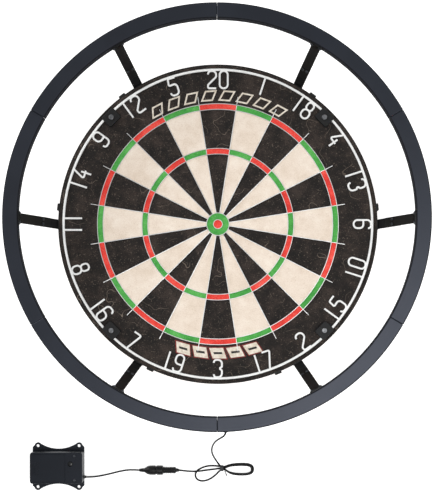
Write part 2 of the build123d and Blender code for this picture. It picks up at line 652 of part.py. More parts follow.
def plug_shell():
    x0, x1 = MEET_X, PLUG_REAR_X
    outline = [(x0, BARREL_R), (x0, PLUG_R - 0.3), (x0 + 0.6, PLUG_R)]
    for i in range(5):                                   # grip rings
        x = x0 + 3.0 + i * 2.6
        outline += [(x, PLUG_R), (x + 0.3, PLUG_R - 0.4), (x + 0.9, PLUG_R - 0.4), (x + 1.2, PLUG_R)]
    outline += [(x1 - 5.6, PLUG_R), (x1 - 4.0, 2.9), (x1, 2.0), (x1, 0), (x0 + 4, 0), (x0 + 4, BARREL_R)]
    return turned(outline)


def plug_barrel():
    return turned([(MEET_X + 4, BARREL_BORE_R), (MEET_X + 4, BARREL_R), (MEET_X - BARREL_LEN, BARREL_R),
                   (MEET_X - BARREL_LEN, BARREL_BORE_R)])


def socket_shell():
    x0, x1 = SOCKET_REAR_X, MEET_X - SLIDE_GAP
    bore_r = BARREL_R + BARREL_CLEARANCE
    bore_end = MEET_X - BARREL_LEN - 1.0
    groove = x1 - 10.0
    return turned([(x0, 0), (x0, 2.1), (x0 + 5, 2.8), (x0 + 7.6, 3.0), (x0 + 12, 5.9), (x0 + 15, 6.6),
                   (x0 + 18, SOCKET_R), (groove - 1.2, SOCKET_R), (groove - 0.7, SOCKET_R - 0.9),
                   (groove + 0.7, SOCKET_R - 0.9), (groove + 1.2, SOCKET_R), (x1 - 0.7, SOCKET_R),
                   (x1, SOCKET_R - 0.7), (x1, bore_r), (bore_end, bore_r), (bore_end, 0)])


def socket_contact():
    bore_end = MEET_X - BARREL_LEN - 1.0
    y, z = PLUG_AXIS
    return bar((bore_end, y, z), (1, 0, 0), BARREL_BORE_R - PIN_CLEARANCE, BARREL_LEN - 0.5)


# ---------------------------------------------------------------- battery pack
def in_pack(shape):
    return Pos(PACK_X, PACK_Y, 0) * shape


def ear_outline():
    """Base plate: four round ears, straight ends and waists that curve in."""
    half_l, s, k = PACK_L / 2, EAR_SPACING / 2, EAR_R
    reach = (s - k * cos(radians(43)), s + k * sin(radians(43)))
    quarter = [(half_l, s - k * 0.4), (s + k * cos(radians(12)), s + k * sin(radians(12))),
               (s + k * cos(radians(70)), s + k * sin(radians(70))), reach]
    edges = []
    for sx, sy in ((1, 1), (-1, 1), (-1, -1), (1, -1)):
        corner = [Vector(sx * x, sy * y) for x, y in quarter]
        edges += [Line(corner[0], corner[1]), ThreePointArc(*corner[1:])]
    for side in (1, -1):
        edges.append(ThreePointArc((reach[0], side * reach[1]), (0, side * WAIST_HALF), (-reach[0], side * reach[1])))
        edges.append(Line((side * half_l, quarter[0][1]), (side * half_l, -quarter[0][1])))
    return make_face(edges)


def pack_base():
    plate = flat(ear_outline(), 0, PACK_BASE_T)
    for x in (-EAR_SPACING / 2, EAR_SPACING / 2):
        for y in (-EAR_SPACING / 2, EAR_SPACING / 2):
            plate -= bar((x, y, -1), (0, 0, 1), EAR_HOLE_R, PACK_BASE_T + 2)
    for x in (-24.0, 4.0):                               # cradles under the cells
        rib = block(x, x + 1.6, -1.5 * CELL_PITCH, 1.5 * CELL_PITCH, PACK_BASE_T, CELL_Z - 1.5)
        for row in (-1, 0, 1):
            rib -= bar((x - 1, row * CELL_PITCH, CELL_Z), (1, 0, 0), CELL_R + 0.05, 4)
        plate += rib
    for y in (-8.0, 8.0):                                # posts under the circuit board
        plate += bar((30.0, y, PACK_BASE_T), (0, 0, 1), 2.0, BOARD_Z - PACK_BASE_T)
    return in_pack(plate)


def pack_housing():
    half_l, half_w, top = PACK_L / 2, PACK_W / 2, PACK_H
    in_l, in_w = half_l - PACK_WALL, half_w - PACK_WALL
    shell = block(-half_l, half_l, -half_w, half_w, PACK_BASE_T, top)
    shell = fillet(shell.edges().filter_by(Axis.Z), PACK_CORNER)
    right_edges = shell.faces().sort_by(Axis.Z)[-1].edges().filter_by_position(Axis.X, half_l - 4, half_l + 1)
    shell = fillet(right_edges, 1.2)
    shell -= block(-in_l, DIVIDER_X, -in_w, in_w, PACK_BASE_T - 1, top + 1)
    shell -= block(DIVIDER_X + DIVIDER_T, in_l, -in_w, in_w, PACK_BASE_T - 1, top - PACK_TOP_T)
    cover_low = top - COVER_T - SLIDE_GAP
    shell -= block(-half_l - 1, -in_l + 0.01, -in_w, in_w, cover_low, top + 1)
    reach, thick, depth = TONGUE
    groove_top = top - depth + SLIDE_GAP
    groove_low = top - depth - thick - SLIDE_GAP
    groove_w = in_w - SLIDE_GAP + reach + SLIDE_GAP
    shell -= block(-half_l - 1, DIVIDER_X, -groove_w, groove_w, groove_low, groove_top)
    for y in (-PACK_SCREW_Y, PACK_SCREW_Y):
        boss = bar((PACK_SCREW_X, y, PACK_BASE_T), (0, 0, 1), BOSS_R, top - PACK_BASE_T - PACK_TOP_T / 2)
        shell += boss
        shell -= bar((PACK_SCREW_X, y, top + 1), (0, 0, -1), PACK_SCREW[0] + 0.15, 1 + PACK_SCREW[1] + 0.1)
        shell -= bar((PACK_SCREW_X, y, top), (0, 0, -1), PACK_SCREW[2], PACK_SCREW[3] + PACK_SCREW[1] + 1)
    shell -= bar((*BUTTON_AT, top + 1), (0, 0, -1), BUTTON_HOLE_R, PACK_TOP_T + 2)
    shell -= bar((in_l - 1, PACK_LEAD_Y, PACK_LEAD_Z), (1, 0, 0), GLAND_R, PACK_WALL + 2)
    return in_pack(shell)


def pack_cover():
    half_l, in_w = PACK_L / 2, PACK_W / 2 - PACK_WALL
    reach, thick, depth = TONGUE
    x0, x1, w = -half_l, DIVIDER_X - SLIDE_GAP, in_w - SLIDE_GAP
    plate = block(x0, x1, -w, w, PACK_H - COVER_T, PACK_H)
    plate = fillet(plate.faces().sort_by(Axis.Z)[-1].edges().sort_by(Axis.X)[0], 0.8)
    tongues = block(x0 + 1.5, x1, -w - reach, w + reach, PACK_H - depth - thick, PACK_H - depth)
    return in_pack(plate + tongues)


def switch_top():
    return BOARD_Z + BOARD_SIZE[2] + SWITCH_SIZE[2]


def power_button():
    flange_r, flange_t = BUTTON_FLANGE
    x, y = BUTTON_AT
    top = PACK_H + BUTTON_PROUD
    cap_low = PACK_H - PACK_TOP_T - SLIDE_GAP - flange_t
    cap = bar((x, y, cap_low), (0, 0, 1), BUTTON_R, top - cap_low)
    cap = fillet(cap.faces().sort_by(Axis.Z)[-1].edges(), 0.7)
    stem_low = switch_top() + SLIDE_GAP + BUTTON_TRAVEL
    button = cap + bar((x, y, cap_low), (0, 0, 1), flange_r, flange_t)
    return in_pack(button + bar((x, y, stem_low), (0, 0, 1), STEM_R, cap_low - stem_low))


def circuit_board():
    width, length, thick = BOARD_SIZE
    x0 = DIVIDER_X + DIVIDER_T + 0.6
    top = BOARD_Z + thick
    board = block(x0, x0 + width, -length / 2, length / 2, BOARD_Z, top)
    sx, sy, sz = SWITCH_SIZE
    bx, by = BUTTON_AT
    switch = block(max(bx - sx / 2, x0), bx + sx / 2, by - sy / 2, by + sy / 2, top, top + sz)
    chip = block(x0 + 3, x0 + 8, -8, -3, top, top + 1.5)
    capacitor = bar((x0 + 13.5, -6.5, top), (0, 0, 1), 2.5, 6.0)
    resistors = [block(x0 + 11, x0 + 14, y, y + 1.6, top, top + 0.8) for y in (0.0, 3.2, 6.4)]
    return [in_pack(piece) for piece in [board, switch, chip, capacitor] + resistors]


def cell_ends():
    """Where a cell starts and stops along X, between its plain contact and its spring, for each row."""
    low = -PACK_L / 2 + PACK_WALL + CONTACT_T + 0.1
    high = DIVIDER_X - CONTACT_T - 0.1
    rows = []
    for row in (-1, 0, 1):
        if row == 0:
            rows.append((row, high - CELL_LEN, high, 1))         # nub towards the divider
        else:
            rows.append((row, low, low + CELL_LEN, -1))
    return rows, low, high


def battery_cells():
    cells = []
    nub_r, nub_len = NUB
    for row, start, end, facing in cell_ends()[0]:
        y = row * CELL_PITCH
        body_start = start if facing > 0 else start + nub_len
        can = bar((body_start, y, CELL_Z), (1, 0, 0), CELL_R, CELL_LEN - nub_len)
        can = fillet(can.edges().filter_by(GeomType.CIRCLE), 0.6)
        nub = bar((end, y, CELL_Z), (-1, 0, 0), nub_r, nub_len) if facing > 0 else \
            bar((start, y, CELL_Z), (1, 0, 0), nub_r, nub_len)
        cells.append(in_pack(can + nub))
    return cells


def contact_springs():
    springs = []
    rows, low, high = cell_ends()
    for row, start, end, facing in rows:
        gap = (start - low) if facing > 0 else (high - end)
        height = gap - SPRING_WIRE
        origin = low + SPRING_WIRE / 2 if facing > 0 else end + SPRING_WIRE / 2
        coil = Helix(pitch=height / 2.5, height=height, radius=SPRING_R, center=(origin, row * CELL_PITCH, CELL_Z),
                     direction=(1, 0, 0))
        wire = sweep(Plane(origin=coil @ 0, z_dir=coil % 0) * Circle(SPRING_WIRE / 2), path=coil, is_frenet=True)
        springs.append(in_pack(wire))
    return springs


def contact_plates():
    plates = []
    low_x = -PACK_L / 2 + PACK_WALL
    for x in (low_x + 0.05, DIVIDER_X - CONTACT_T - 0.05):
        for row in (-1, 0, 1):
            y = row * CELL_PITCH
            plates.append(in_pack(block(x, x + CONTACT_T, y - 4.6, y + 4.6, CELL_Z - 4.6, CELL_Z + 4.6)))
    return plates


def pack_screws():
    seat = PACK_H - PACK_SCREW[1]
    return [in_pack(screw((PACK_SCREW_X, y, seat - 0.1), (0, 0, -1), PACK_SCREW))
            for y in (-PACK_SCREW_Y, PACK_SCREW_Y)]


def pack_gland():
    outside = PACK_L / 2
    y, z = PACK_LEAD_Y, PACK_LEAD_Z
    stub = bar((outside - PACK_WALL, y, z), (1, 0, 0), GLAND_R, PACK_WALL)
    boot = loft([Plane(origin=(outside, y, z), z_dir=(1, 0, 0)) * Circle(GLAND_R + 0.5),
                 Plane(origin=(outside + PACK_GLAND_LEN, y, z), z_dir=(1, 0, 0)) * Circle(CORD_D / 2 + 0.4)])
    return in_pack(stub + boot)


# ---------------------------------------------------------------- write one STEP for each sub-part
nodes = {
    "backing_board": backing_board(),
    "sisal_bed": sisal_bed(),
    "dyed_cream": dyed(sector_faces(CREAM, SINGLES)),
    "dyed_red": dyed(sector_faces(BLACK, SCORING) + [Circle(BULL_R)]),
    "dyed_green": dyed(sector_faces(CREAM, SCORING) + [Circle(OUTER_BULL_R) - Circle(BULL_R)]),
    "rim_band": rim_band(),
    "spider_grid": spider_grid(),
    "bull_rings": bull_rings(),
    "number_hoop": number_hoop(),
    "number_digits": number_digits(),
    "number_clips": number_clips(),
    "number_clip_screws": number_clip_screws(),
    "wall_pads": wall_pads(),
    "hanger_screw": hanger_screw(),
    "wall_bracket": wall_bracket(),
    "ring_diffusers": ring_diffusers(),
    "led_strips": led_strips(),
    "ring_joiners": ring_joiners(),
    "ring_gland": ring_gland(),
    "arm_screws": arm_screws(),
    "foot_screws": foot_screws(),
    "rim_lugs": rim_lugs(),
    "ring_lead": cord_tube("ring_lead", LEAD_POINTS),
    "lead_hank": lead_hank(),
    "lead_loop": cord_tube("lead_loop", LOOP_POINTS),
    "lead_tail": cord_tube("lead_tail", TAIL_POINTS),
    "hank_tie": hank_tie(),
    "plug_shell": plug_shell(),
    "plug_barrel": plug_barrel(),
    "socket_shell": socket_shell(),
    "socket_contact": socket_contact(),
    "pack_lead": cord_tube("pack_lead", PACK_LEAD_POINTS),
    "pack_base": pack_base(),
    "pack_housing": pack_housing(),
    "pack_cover": pack_cover(),
    "power_button": power_button(),
    "circuit_board": circuit_board(),
    "battery_cells": battery_cells(),
    "contact_springs": contact_springs(),
    "contact_plates": contact_plates(),
    "pack_screws": pack_screws(),
    "pack_gland": pack_gland(),
}
bracket_at_zero, strut_at_zero = arm_bracket(), arm_strut()
for i in range(ARMS):
    nodes[f"arm_bracket_{i + 1}"] = Rot(0, 0, i * 360.0 / ARMS) * bracket_at_zero
    nodes[f"arm_strut_{i + 1}"] = Rot(0, 0, i * 360.0 / ARMS) * strut_at_zero
for i in range(SEGMENTS):
    nodes[f"ring_segment_{i + 1}"] = ring_segment(i)

os.makedirs("parts", exist_ok=True)
for name, shape in nodes.items():
    export_step(group(shape), f"parts/{name}.step")
print(len(nodes), "nodes")
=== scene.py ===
# %% [markdown]
# # A bristle dartboard with a lighting ring
# The CAD model already fixes every size, place and joint of this object. It is a sisal board with a steel
# band, a ring of lights carried by six arms, the ring's thin lead, and the battery pack on the lead's end.
# This notebook dresses that model: it models the pieces whose edges, bends and wires catch the light, and it
# gives every piece the finish of its real material. The frame is loaded first, because each new piece takes
# its place and its size from it.

# %% Load the fixed frame
from math import atan2, cos, hypot, pi, radians, sin

import bmesh
import bpy
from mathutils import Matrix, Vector


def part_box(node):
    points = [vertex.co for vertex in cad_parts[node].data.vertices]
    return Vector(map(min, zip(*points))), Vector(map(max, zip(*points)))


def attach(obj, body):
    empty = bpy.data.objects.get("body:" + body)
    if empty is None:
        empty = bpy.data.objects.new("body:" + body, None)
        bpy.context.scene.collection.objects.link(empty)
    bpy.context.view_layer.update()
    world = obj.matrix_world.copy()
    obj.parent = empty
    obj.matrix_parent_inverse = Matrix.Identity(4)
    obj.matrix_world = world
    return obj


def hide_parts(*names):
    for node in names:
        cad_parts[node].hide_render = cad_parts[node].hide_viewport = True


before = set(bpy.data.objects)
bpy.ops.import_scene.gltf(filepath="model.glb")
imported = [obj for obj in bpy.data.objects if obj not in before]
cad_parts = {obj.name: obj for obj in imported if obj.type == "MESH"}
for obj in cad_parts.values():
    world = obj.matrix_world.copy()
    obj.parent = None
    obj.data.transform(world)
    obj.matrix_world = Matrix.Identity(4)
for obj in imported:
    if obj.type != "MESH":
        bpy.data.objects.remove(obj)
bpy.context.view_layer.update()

MM = 0.001

# %% [markdown]
# ## Sizes
# A few boxes of the frame give the board's radius, the height of its face and the light ring's section. The
# origin is on the wall plane, on the board's axis, so a radius is simply how far a box reaches along X.

# %% Read the sizes from the frame
BOARD_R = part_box("rim_band")[1].x
BACK_Z, FACE_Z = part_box("rim_band")[0].z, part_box("rim_band")[1].z
RING_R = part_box("ring_segment_1")[1].x
RING_BACK_Z, RING_FRONT_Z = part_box("ring_segment_1")[0].z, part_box("ring_segment_1")[1].z
SEGMENTS = 6
SECTORS = 20
print(f"board radius {BOARD_R / MM:.1f} mm, face at {FACE_Z / MM:.1f} mm, ring radius {RING_R / MM:.1f} mm")


def polar(radius, degrees, z=0.0):
    return Vector((radius * cos(radians(degrees)), radius * sin(radians(degrees)), z))


# %% [markdown]
# ## Camera
# The camera looks straight at the board from about 1.3 m, with a short telephoto lens. It stands a little below
# the board's middle, and its lens is shifted up to bring the whole object in. The shift keeps every circle
# round. Standing low is what sets the ring, which is nearer, off centre over the board.

# %% Place the camera
CAMERA_AT = (0.019, -0.1516, 1.350)
LENS, SENSOR = 67.0, 36.0
SHIFT = (-0.028, 0.170)

bpy.ops.object.camera_add(location=CAMERA_AT, rotation=(0, 0, 0))
camera = bpy.context.object
camera.data.lens, camera.data.sensor_width = LENS, SENSOR
camera.data.shift_x, camera.data.shift_y = SHIFT
bpy.context.scene.camera = camera
print("camera", tuple(round(v, 3) for v in camera.location))

# %% [markdown]
# ## Two leads
# A thin PVC lead is limp: it leaves the ring, sags to the wall plane, is gathered in a hank by a twist tie,
# and ends in a small plug. A second one joins the socket to the battery pack. Each is one NURBS curve of
# order 3, whose control points pull it into loose bends that never kink. The points are given in
# millimetres. The first lead goes twice round the hank's right-hand loop, and once round the left-hand one.

# %% Draw the leads
CORD_D = 2.5 * MM
LEAD_POINTS = (
    (11.50, -286.27, 118.0), (10.2, -290.4, 117.4), (6.2, -293.6, 112.4), (1.8, -297.0, 104.0),
    (-2.8, -301.4, 92.0), (-6.4, -307.8, 76.0), (-8.6, -315.6, 58.0), (-8.8, -324.0, 38.5),
    (-6.2, -332.6, 21.0), (-2.0, -340.6, 9.5), (3.0, -348.4, 4.8))
RIGHT_TURN = (
    (9.5, -352.6, 2.0), (17.0, -359.4, 1.4), (30.5, -361.4, 1.4), (44.5, -360.8, 1.4), (51.0, -357.2, 1.4),
    (51.2, -349.0, 1.4), (45.0, -345.0, 1.4), (31.0, -344.6, 1.4), (17.0, -346.0, 1.4), (9.0, -349.6, 1.4))
LOOP_POINTS = (
    (3.0, -348.8, 1.7), (-6.6, -347.6, 1.5), (-16.5, -348.0, 2.2), (-24.8, -350.7, 4.2), (-31.0, -354.2, 4.6),
    (-34.4, -361.4, 3.2), (-31.0, -368.6, 1.6), (-23.0, -370.6, 1.4), (-13.6, -368.2, 1.4),
    (-5.0, -362.5, 1.5), (3.0, -353.9, 1.8))
UPPER_TURN = (
    (9.5, -350.6, 3.9), (17.5, -347.4, 3.9), (31.0, -346.6, 3.9), (43.6, -346.8, 3.9), (48.8, -349.8, 3.9),
    (48.8, -356.0, 3.9), (43.6, -358.9, 3.9), (31.0, -359.4, 3.9), (17.5, -357.8, 3.9), (9.5, -353.2, 3.9))
TAIL_POINTS = (
    (3.0, -351.4, 1.6), (-5.2, -352.9, 1.3), (-14.2, -353.8, 1.3), (-30.9, -356.3, 1.35), (-46.0, -355.6, 3.4),
    (-57.2, -353.5, 6.9))
PACK_LEAD_POINTS = (
    (-192.65, -363.5, 6.2), (-184.0, -363.9, 4.3), (-172.0, -362.5, 1.9), (-158.5, -359.6, 1.35),
    (-146.0, -356.3, 1.5), (-133.5, -353.8, 3.0), (-123.5, -353.2, 5.6), (-115.2, -353.5, 6.9))


def draw_lead(name, points):
    """One limp lead: a NURBS curve through given control points, with a round section."""
    curve = bpy.data.curves.new(name, "CURVE")
    curve.dimensions = "3D"
    spline = curve.splines.new("NURBS")
    spline.points.add(len(points) - 1)
    for control, point in zip(spline.points, points):
        control.co = (*[value * MM for value in point], 1.0)
    spline.order_u = 3
    spline.use_endpoint_u = True
    spline.resolution_u = 8
    lead = bpy.data.objects.new(name, curve)
    bpy.context.scene.collection.objects.link(lead)
    line = bpy.data.meshes.new_from_object(lead)
    length = sum((line.vertices[e.vertices[0]].co - line.vertices[e.vertices[1]].co).length for e in line.edges)
    bpy.data.meshes.remove(line)
    curve.bevel_depth = CORD_D / 2
    curve.bevel_resolution = 4
    curve.use_fill_caps = True
    print(f"{name}: {length / MM:.1f} mm long")
    return lead, length


ring_lead, ring_lead_length = draw_lead(
    "ring_lead_cord", LEAD_POINTS + RIGHT_TURN + LOOP_POINTS + UPPER_TURN + TAIL_POINTS)
pack_lead, pack_lead_length = draw_lead("pack_lead_cord", PACK_LEAD_POINTS)

# %% [markdown]
# ## A maker's tools
# Every new piece below is modelled the way a person would do it by hand: a primitive is added, shaped in edit
# mode and finished with an applied modifier. These few helpers are the moves that come back again and again.
# The first of them clears the selection, because an operator acts on whatever is selected.

# %% Selecting and adding
def only(piece):
    bpy.ops.object.select_all(action="DESELECT")
    piece.select_set(True)
    bpy.context.view_layer.objects.active = piece


def named(name):
    """Names what was just added, and puts its place into its mesh."""
    piece = bpy.context.object
    piece.name = piece.data.name = name
    bpy.ops.object.transform_apply(location=True, rotation=True, scale=True)
    return piece


def block(name, low, high):
    bpy.ops.object.select_all(action="DESELECT")
    low, high = Vector(low), Vector(high)
    bpy.ops.mesh.primitive_cube_add(size=1.0, location=(low + high) / 2, scale=high - low)
    return named(name)


def rod(name, start, along, radius, length, sides=32):
    bpy.ops.object.select_all(action="DESELECT")
    along = Vector(along).normalized()
    turn = along.to_track_quat("Z", "Y").to_euler()
    bpy.ops.mesh.primitive_cylinder_add(vertices=sides, radius=radius, depth=length,
                                        location=Vector(start) + along * length / 2, rotation=turn)
    return named(name)


def choose(piece, kind, test):
    """In edit mode, selects only the verts, edges or faces that pass a test."""
    mode = {"verts": "VERT", "edges": "EDGE", "faces": "FACE"}[kind]
    bpy.ops.mesh.select_mode(type=mode)
    bpy.ops.mesh.select_all(action="DESELECT")
    shape = bmesh.from_edit_mesh(piece.data)
    for part in getattr(shape, kind):
        if test(part):
            part.select_set(True)
    bmesh.update_edit_mesh(piece.data)


# %% Drawing an outline
def draw_path(name, points):
    """A line of edges: a plane merged to one vertex, extruded from point to point."""
    bpy.ops.object.select_all(action="DESELECT")
    bpy.ops.mesh.primitive_plane_add(size=MM)
    piece = named(name)
    bpy.ops.object.mode_set(mode="EDIT")
    bpy.ops.mesh.select_mode(type="VERT")
    bpy.ops.mesh.merge(type="CENTER")
    bpy.ops.transform.translate(value=points[0])
    for before, after in zip(points, points[1:]):
        step = Vector(after) - Vector(before)
        bpy.ops.mesh.extrude_region_move(TRANSFORM_OT_translate={"value": step})
    bpy.ops.mesh.select_all(action="SELECT")
    return piece


def draw_face(name, points):
    """A flat closed outline, filled."""
    piece = draw_path(name, points)
    bpy.ops.mesh.edge_face_add()
    return piece


# %% Finishing a mesh
def tidy(piece, smooth=32.0):
    """Merges doubles, turns every face outwards and shades the round stretches smooth, the flats flat."""
    only(piece)
    bpy.ops.object.mode_set(mode="EDIT")
    bpy.ops.mesh.select_all(action="SELECT")
    bpy.ops.mesh.remove_doubles(threshold=1e-6)
    bpy.ops.mesh.normals_make_consistent(inside=False)
    bpy.ops.object.mode_set(mode="OBJECT")
    bpy.ops.object.shade_smooth_by_angle(angle=radians(smooth))
    return modify(piece, "WEIGHTED_NORMAL", keep_sharp=True)


def modify(piece, kind, **settings):
    """Adds one modifier and applies it."""
    only(piece)
    modifier = piece.modifiers.new(kind.title(), kind)
    for name, value in settings.items():
        setattr(modifier, name, value)
    bpy.ops.object.modifier_apply(modifier=modifier.name)
    return piece


def soften(piece, width, segments=2, corner=35.0):
    """Rounds every edge that is sharper than a corner's angle, as a mould or a press leaves it."""
    return modify(piece, "BEVEL", width=width, segments=segments, limit_method="ANGLE", angle_limit=radians(corner),
                  use_clamp_overlap=True, harden_normals=False)


def cut(piece, *cutters, operation="DIFFERENCE"):
    for cutter in cutters:
        modify(piece, "BOOLEAN", object=cutter, operation=operation, solver="EXACT")
        bpy.data.objects.remove(cutter, do_unlink=True)
    return piece


def turned_copy(piece, name, degrees):
    """A copy with its own mesh, turned about the board's axis."""
    only(piece)
    bpy.ops.object.duplicate()
    copy = bpy.context.object
    copy.rotation_euler.z = radians(degrees)
    return named(name)


def joined(name, pieces):
    bpy.ops.object.select_all(action="DESELECT")
    for piece in pieces:
        piece.select_set(True)
    bpy.context.view_layer.objects.active = pieces[0]
    bpy.ops.object.join()
    return named(name)


def all_round(piece, name, count, first=0.0):
    """One mesh of copies, evenly spaced round the board's axis."""
    step = 360.0 / count
    copies = [turned_copy(piece, f"{name}_{i}", first + i * step) for i in range(1, count)]
    only(piece)
    piece.rotation_euler.z = radians(first)
    bpy.ops.object.transform_apply(rotation=True)
    return joined(name, [piece] + copies)


# %% [markdown]
# ## Colour and nodes
# Paints are given as the hex codes that a colour picker shows. Those are sRGB, and a shader wants linear
# light, so one function converts them. Another adds a node with its settings and its links, which keeps each
# finish below to a few readable lines.

# %% Helpers for the finishes
def paint(code):
    """A hex colour as linear red, green, blue and alpha."""
    channels = [int(code[i:i + 2], 16) / 255 for i in (1, 3, 5)]
    return (*[c / 12.92 if c <= 0.04045 else ((c + 0.055) / 1.055) ** 2.4 for c in channels], 1.0)


def add(tree, kind, inputs=(), **settings):
    """One shader node. An input is a plain value, or the output socket that feeds it."""
    node = tree.nodes.new("ShaderNode" + kind)
    for name, value in settings.items():
        setattr(node, name, value)
    for name, value in dict(inputs).items():
        if isinstance(value, bpy.types.NodeSocket):
            tree.links.new(value, node.inputs[name])
        else:
            node.inputs[name].default_value = value
    return node


def new_finish(name, **surface):
    """An empty finish: its node tree, its Principled shader and where a point is, in metres."""
    material = bpy.data.materials.new(name)
    material.use_nodes = True
    tree = material.node_tree
    shader = tree.nodes["Principled BSDF"]
    for socket, value in surface.items():
        shader.inputs[socket.replace("_", " ")].default_value = value
    place = add(tree, "TexCoord").outputs["Object"]
    return material, tree, shader, place


def grain(tree, place, size, detail=4.0, roughness=0.6):
    """Cloudy noise whose blotches are about one size across."""
    return add(tree, "TexNoise", {"Vector": place, "Scale": 0.7 / size, "Detail": detail, "Roughness": roughness})


def ramp(tree, factor, *stops):
    """Colours along a 0 to 1 factor: pairs of a place and a hex code."""
    node = add(tree, "ValToRGB", {"Fac": factor})
    stack = node.color_ramp.elements
    while len(stack) < len(stops):
        stack.new(0.5)
    for element, (position, code) in zip(stack, stops):
        element.position = position
        element.color = paint(code)
    return node.outputs["Color"]


def spread(tree, factor, low, high):
    """A 0 to 1 factor stretched to run from low to high."""
    return add(tree, "MapRange", {"Value": factor, "To Min": low, "To Max": high}).outputs["Result"]


def relief(tree, shader, height, depth):
    """Bump from a 0 to 1 height, with its full depth in metres."""
    bump = add(tree, "Bump", {"Height": height, "Distance": depth, "Strength": 1.0})
    tree.links.new(bump.outputs["Normal"], shader.inputs["Normal"])


def coat(finish, *pieces):
    """Gives one finish to pieces or CAD nodes."""
    for piece in pieces:
        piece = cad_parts[piece] if isinstance(piece, str) else piece
        if piece.material_slots:
            for held in piece.material_slots:
                held.material = finish
        else:
            piece.data.materials.append(finish)


# %% [markdown]
# ## Dyed sisal
# The face is the cut ends of millions of sisal fibres, pressed hard and dyed. Close up it is matt and
# speckled: fibre ends about 0.3 mm across, drawn here at 0.9 mm so that they show, and softer blotches where
# the dye took better. A stretched noise would look like cloth, so round noise is used, with a little relief
# and a few pale fibres that escaped the dye. On the black, a thin contour line of a slow noise, shown only in
# patches, stands for the loose hairs and dart scuffs that catch the light.

# %% Sisal in four dyes
FIBRE = 0.9 * MM
BLOTCH = 14 * MM
HAIR_BEND = 34 * MM
HAIR_LENGTH = 26 * MM
HAIR_FINENESS = 0.0022        # how near the noise has to be to its middle
FIBRE_RELIEF = 0.25 * MM


def sisal(name, dark, middle, light, fleck, fleck_share, span=0.15, hairs=0.0):
    material, tree, shader, place = new_finish(name, Roughness=0.93, Sheen_Weight=0.08)
    fibres = grain(tree, place, FIBRE, detail=3.0, roughness=0.7).outputs["Fac"]
    blotches = grain(tree, place, BLOTCH, detail=3.0).outputs["Fac"]
    mixed = add(tree, "Math", {0: fibres, 1: blotches}, operation="ADD")
    half = add(tree, "Math", {0: mixed.outputs[0], 1: 0.5}, operation="MULTIPLY")
    dye = ramp(tree, half.outputs[0], (0.5 - span, dark), (0.5, middle), (0.5 + span, light))
    ends = grain(tree, place, FIBRE * 1.6, detail=2.0, roughness=0.5).outputs["Fac"]
    stray = add(tree, "MapRange", {"Value": ends, "From Min": 0.63, "From Max": 0.7, "To Max": fleck_share})
    colour = add(tree, "Mix", {0: stray.outputs["Result"], 6: dye, 7: paint(fleck)}, data_type="RGBA")
    surface = colour.outputs[2]
    if hairs:
        contour = add(tree, "Math", {0: grain(tree, place, HAIR_BEND, detail=2.0, roughness=0.45).outputs["Fac"],
                                     1: 0.5, 2: HAIR_FINENESS}, operation="COMPARE")
        where = grain(tree, place, HAIR_LENGTH, detail=1.0).outputs["Fac"]
        seen = add(tree, "MapRange", {"Value": where, "From Min": 0.5, "From Max": 0.62, "To Max": hairs})
        share = add(tree, "Math", {0: contour.outputs[0], 1: seen.outputs["Result"]}, operation="MULTIPLY")
        surface = add(tree, "Mix", {0: share.outputs[0], 6: surface, 7: paint(fleck)}, data_type="RGBA").outputs[2]
    tree.links.new(surface, shader.inputs["Base Color"])
    relief(tree, shader, fibres, FIBRE_RELIEF)
    return material


black_sisal = sisal("black_dyed_sisal", "#0c0806", "#1e1713", "#382e28", "#7c6f63", 0.45, span=0.1, hairs=0.8)
cream_sisal = sisal("cream_sisal", "#ddcbb7", "#ecdccb", "#f6eadb", "#bfa98d", 0.3)
red_sisal = sisal("red_dyed_sisal", "#c52a24", "#ea4237", "#fb6a5c", "#ff9c8c", 0.3)
green_sisal = sisal("green_dyed_sisal", "#2c8436", "#4aa547", "#6bbe62", "#a0dc92", 0.3)
coat(black_sisal, "sisal_bed")
coat(cream_sisal, "dyed_cream")
coat(red_sisal, "dyed_red")
coat(green_sisal, "dyed_green")
print("sisal dyed in four colours")

# %% [markdown]
# ## Painted and moulded blacks
# Most of the rest is black, but not the same black. The arms are powder-coated steel, the pack is
# spark-grained ABS and the leads are soft PVC. What tells them apart is how wide their highlights are and how
# coarse their grain is, so one recipe takes both: a spark-eroded mould or a powder coat is fine round noise in
# the relief, with a slow change in gloss from handling. Rubber and soft PVC reflect less than hard plastic.

# %% Recipe for a grained, non-metal surface
def moulded(name, colour, worn, roughness, texture, depth, patch=60 * MM, **surface):
    material, tree, shader, place = new_finish(name, **surface)
    patches = grain(tree, place, patch, detail=3.0).outputs["Fac"]
    fine = grain(tree, place, texture, detail=2.0).outputs["Fac"]
    tree.links.new(ramp(tree, patches, (0.35, colour), (0.7, worn)), shader.inputs["Base Color"])
    tree.links.new(spread(tree, patches, roughness - 0.05, roughness + 0.06), shader.inputs["Roughness"])
    relief(tree, shader, fine, depth)
    return material


band_coat = moulded("powder_coated_band", "#060607", "#0c0c0d", 0.45, 1.2 * MM, 0.04 * MM,
                    Specular_IOR_Level=0.35)
arm_coat = moulded("powder_coated_arm_steel", "#050506", "#0a0a0c", 0.5, 1.0 * MM, 0.06 * MM,
                   Specular_IOR_Level=0.25)
strut_coat = moulded("powder_coated_strut", "#040405", "#08080a", 0.4, 1.0 * MM, 0.03 * MM,
                     Specular_IOR_Level=0.3)
clip_nylon = moulded("glass_filled_nylon", "#090909", "#101010", 0.6, 0.8 * MM, 0.05 * MM, patch=9 * MM,
                     Specular_IOR_Level=0.35)
lead_pvc = moulded("flexible_pvc", "#030304", "#080809", 0.5, 0.6 * MM, 0.01 * MM, patch=20 * MM,
                   Specular_IOR_Level=0.2)
connector_pvc = moulded("moulded_pvc_connector", "#030304", "#080809", 0.4, 0.8 * MM, 0.01 * MM, patch=9 * MM,
                        Specular_IOR_Level=0.3)
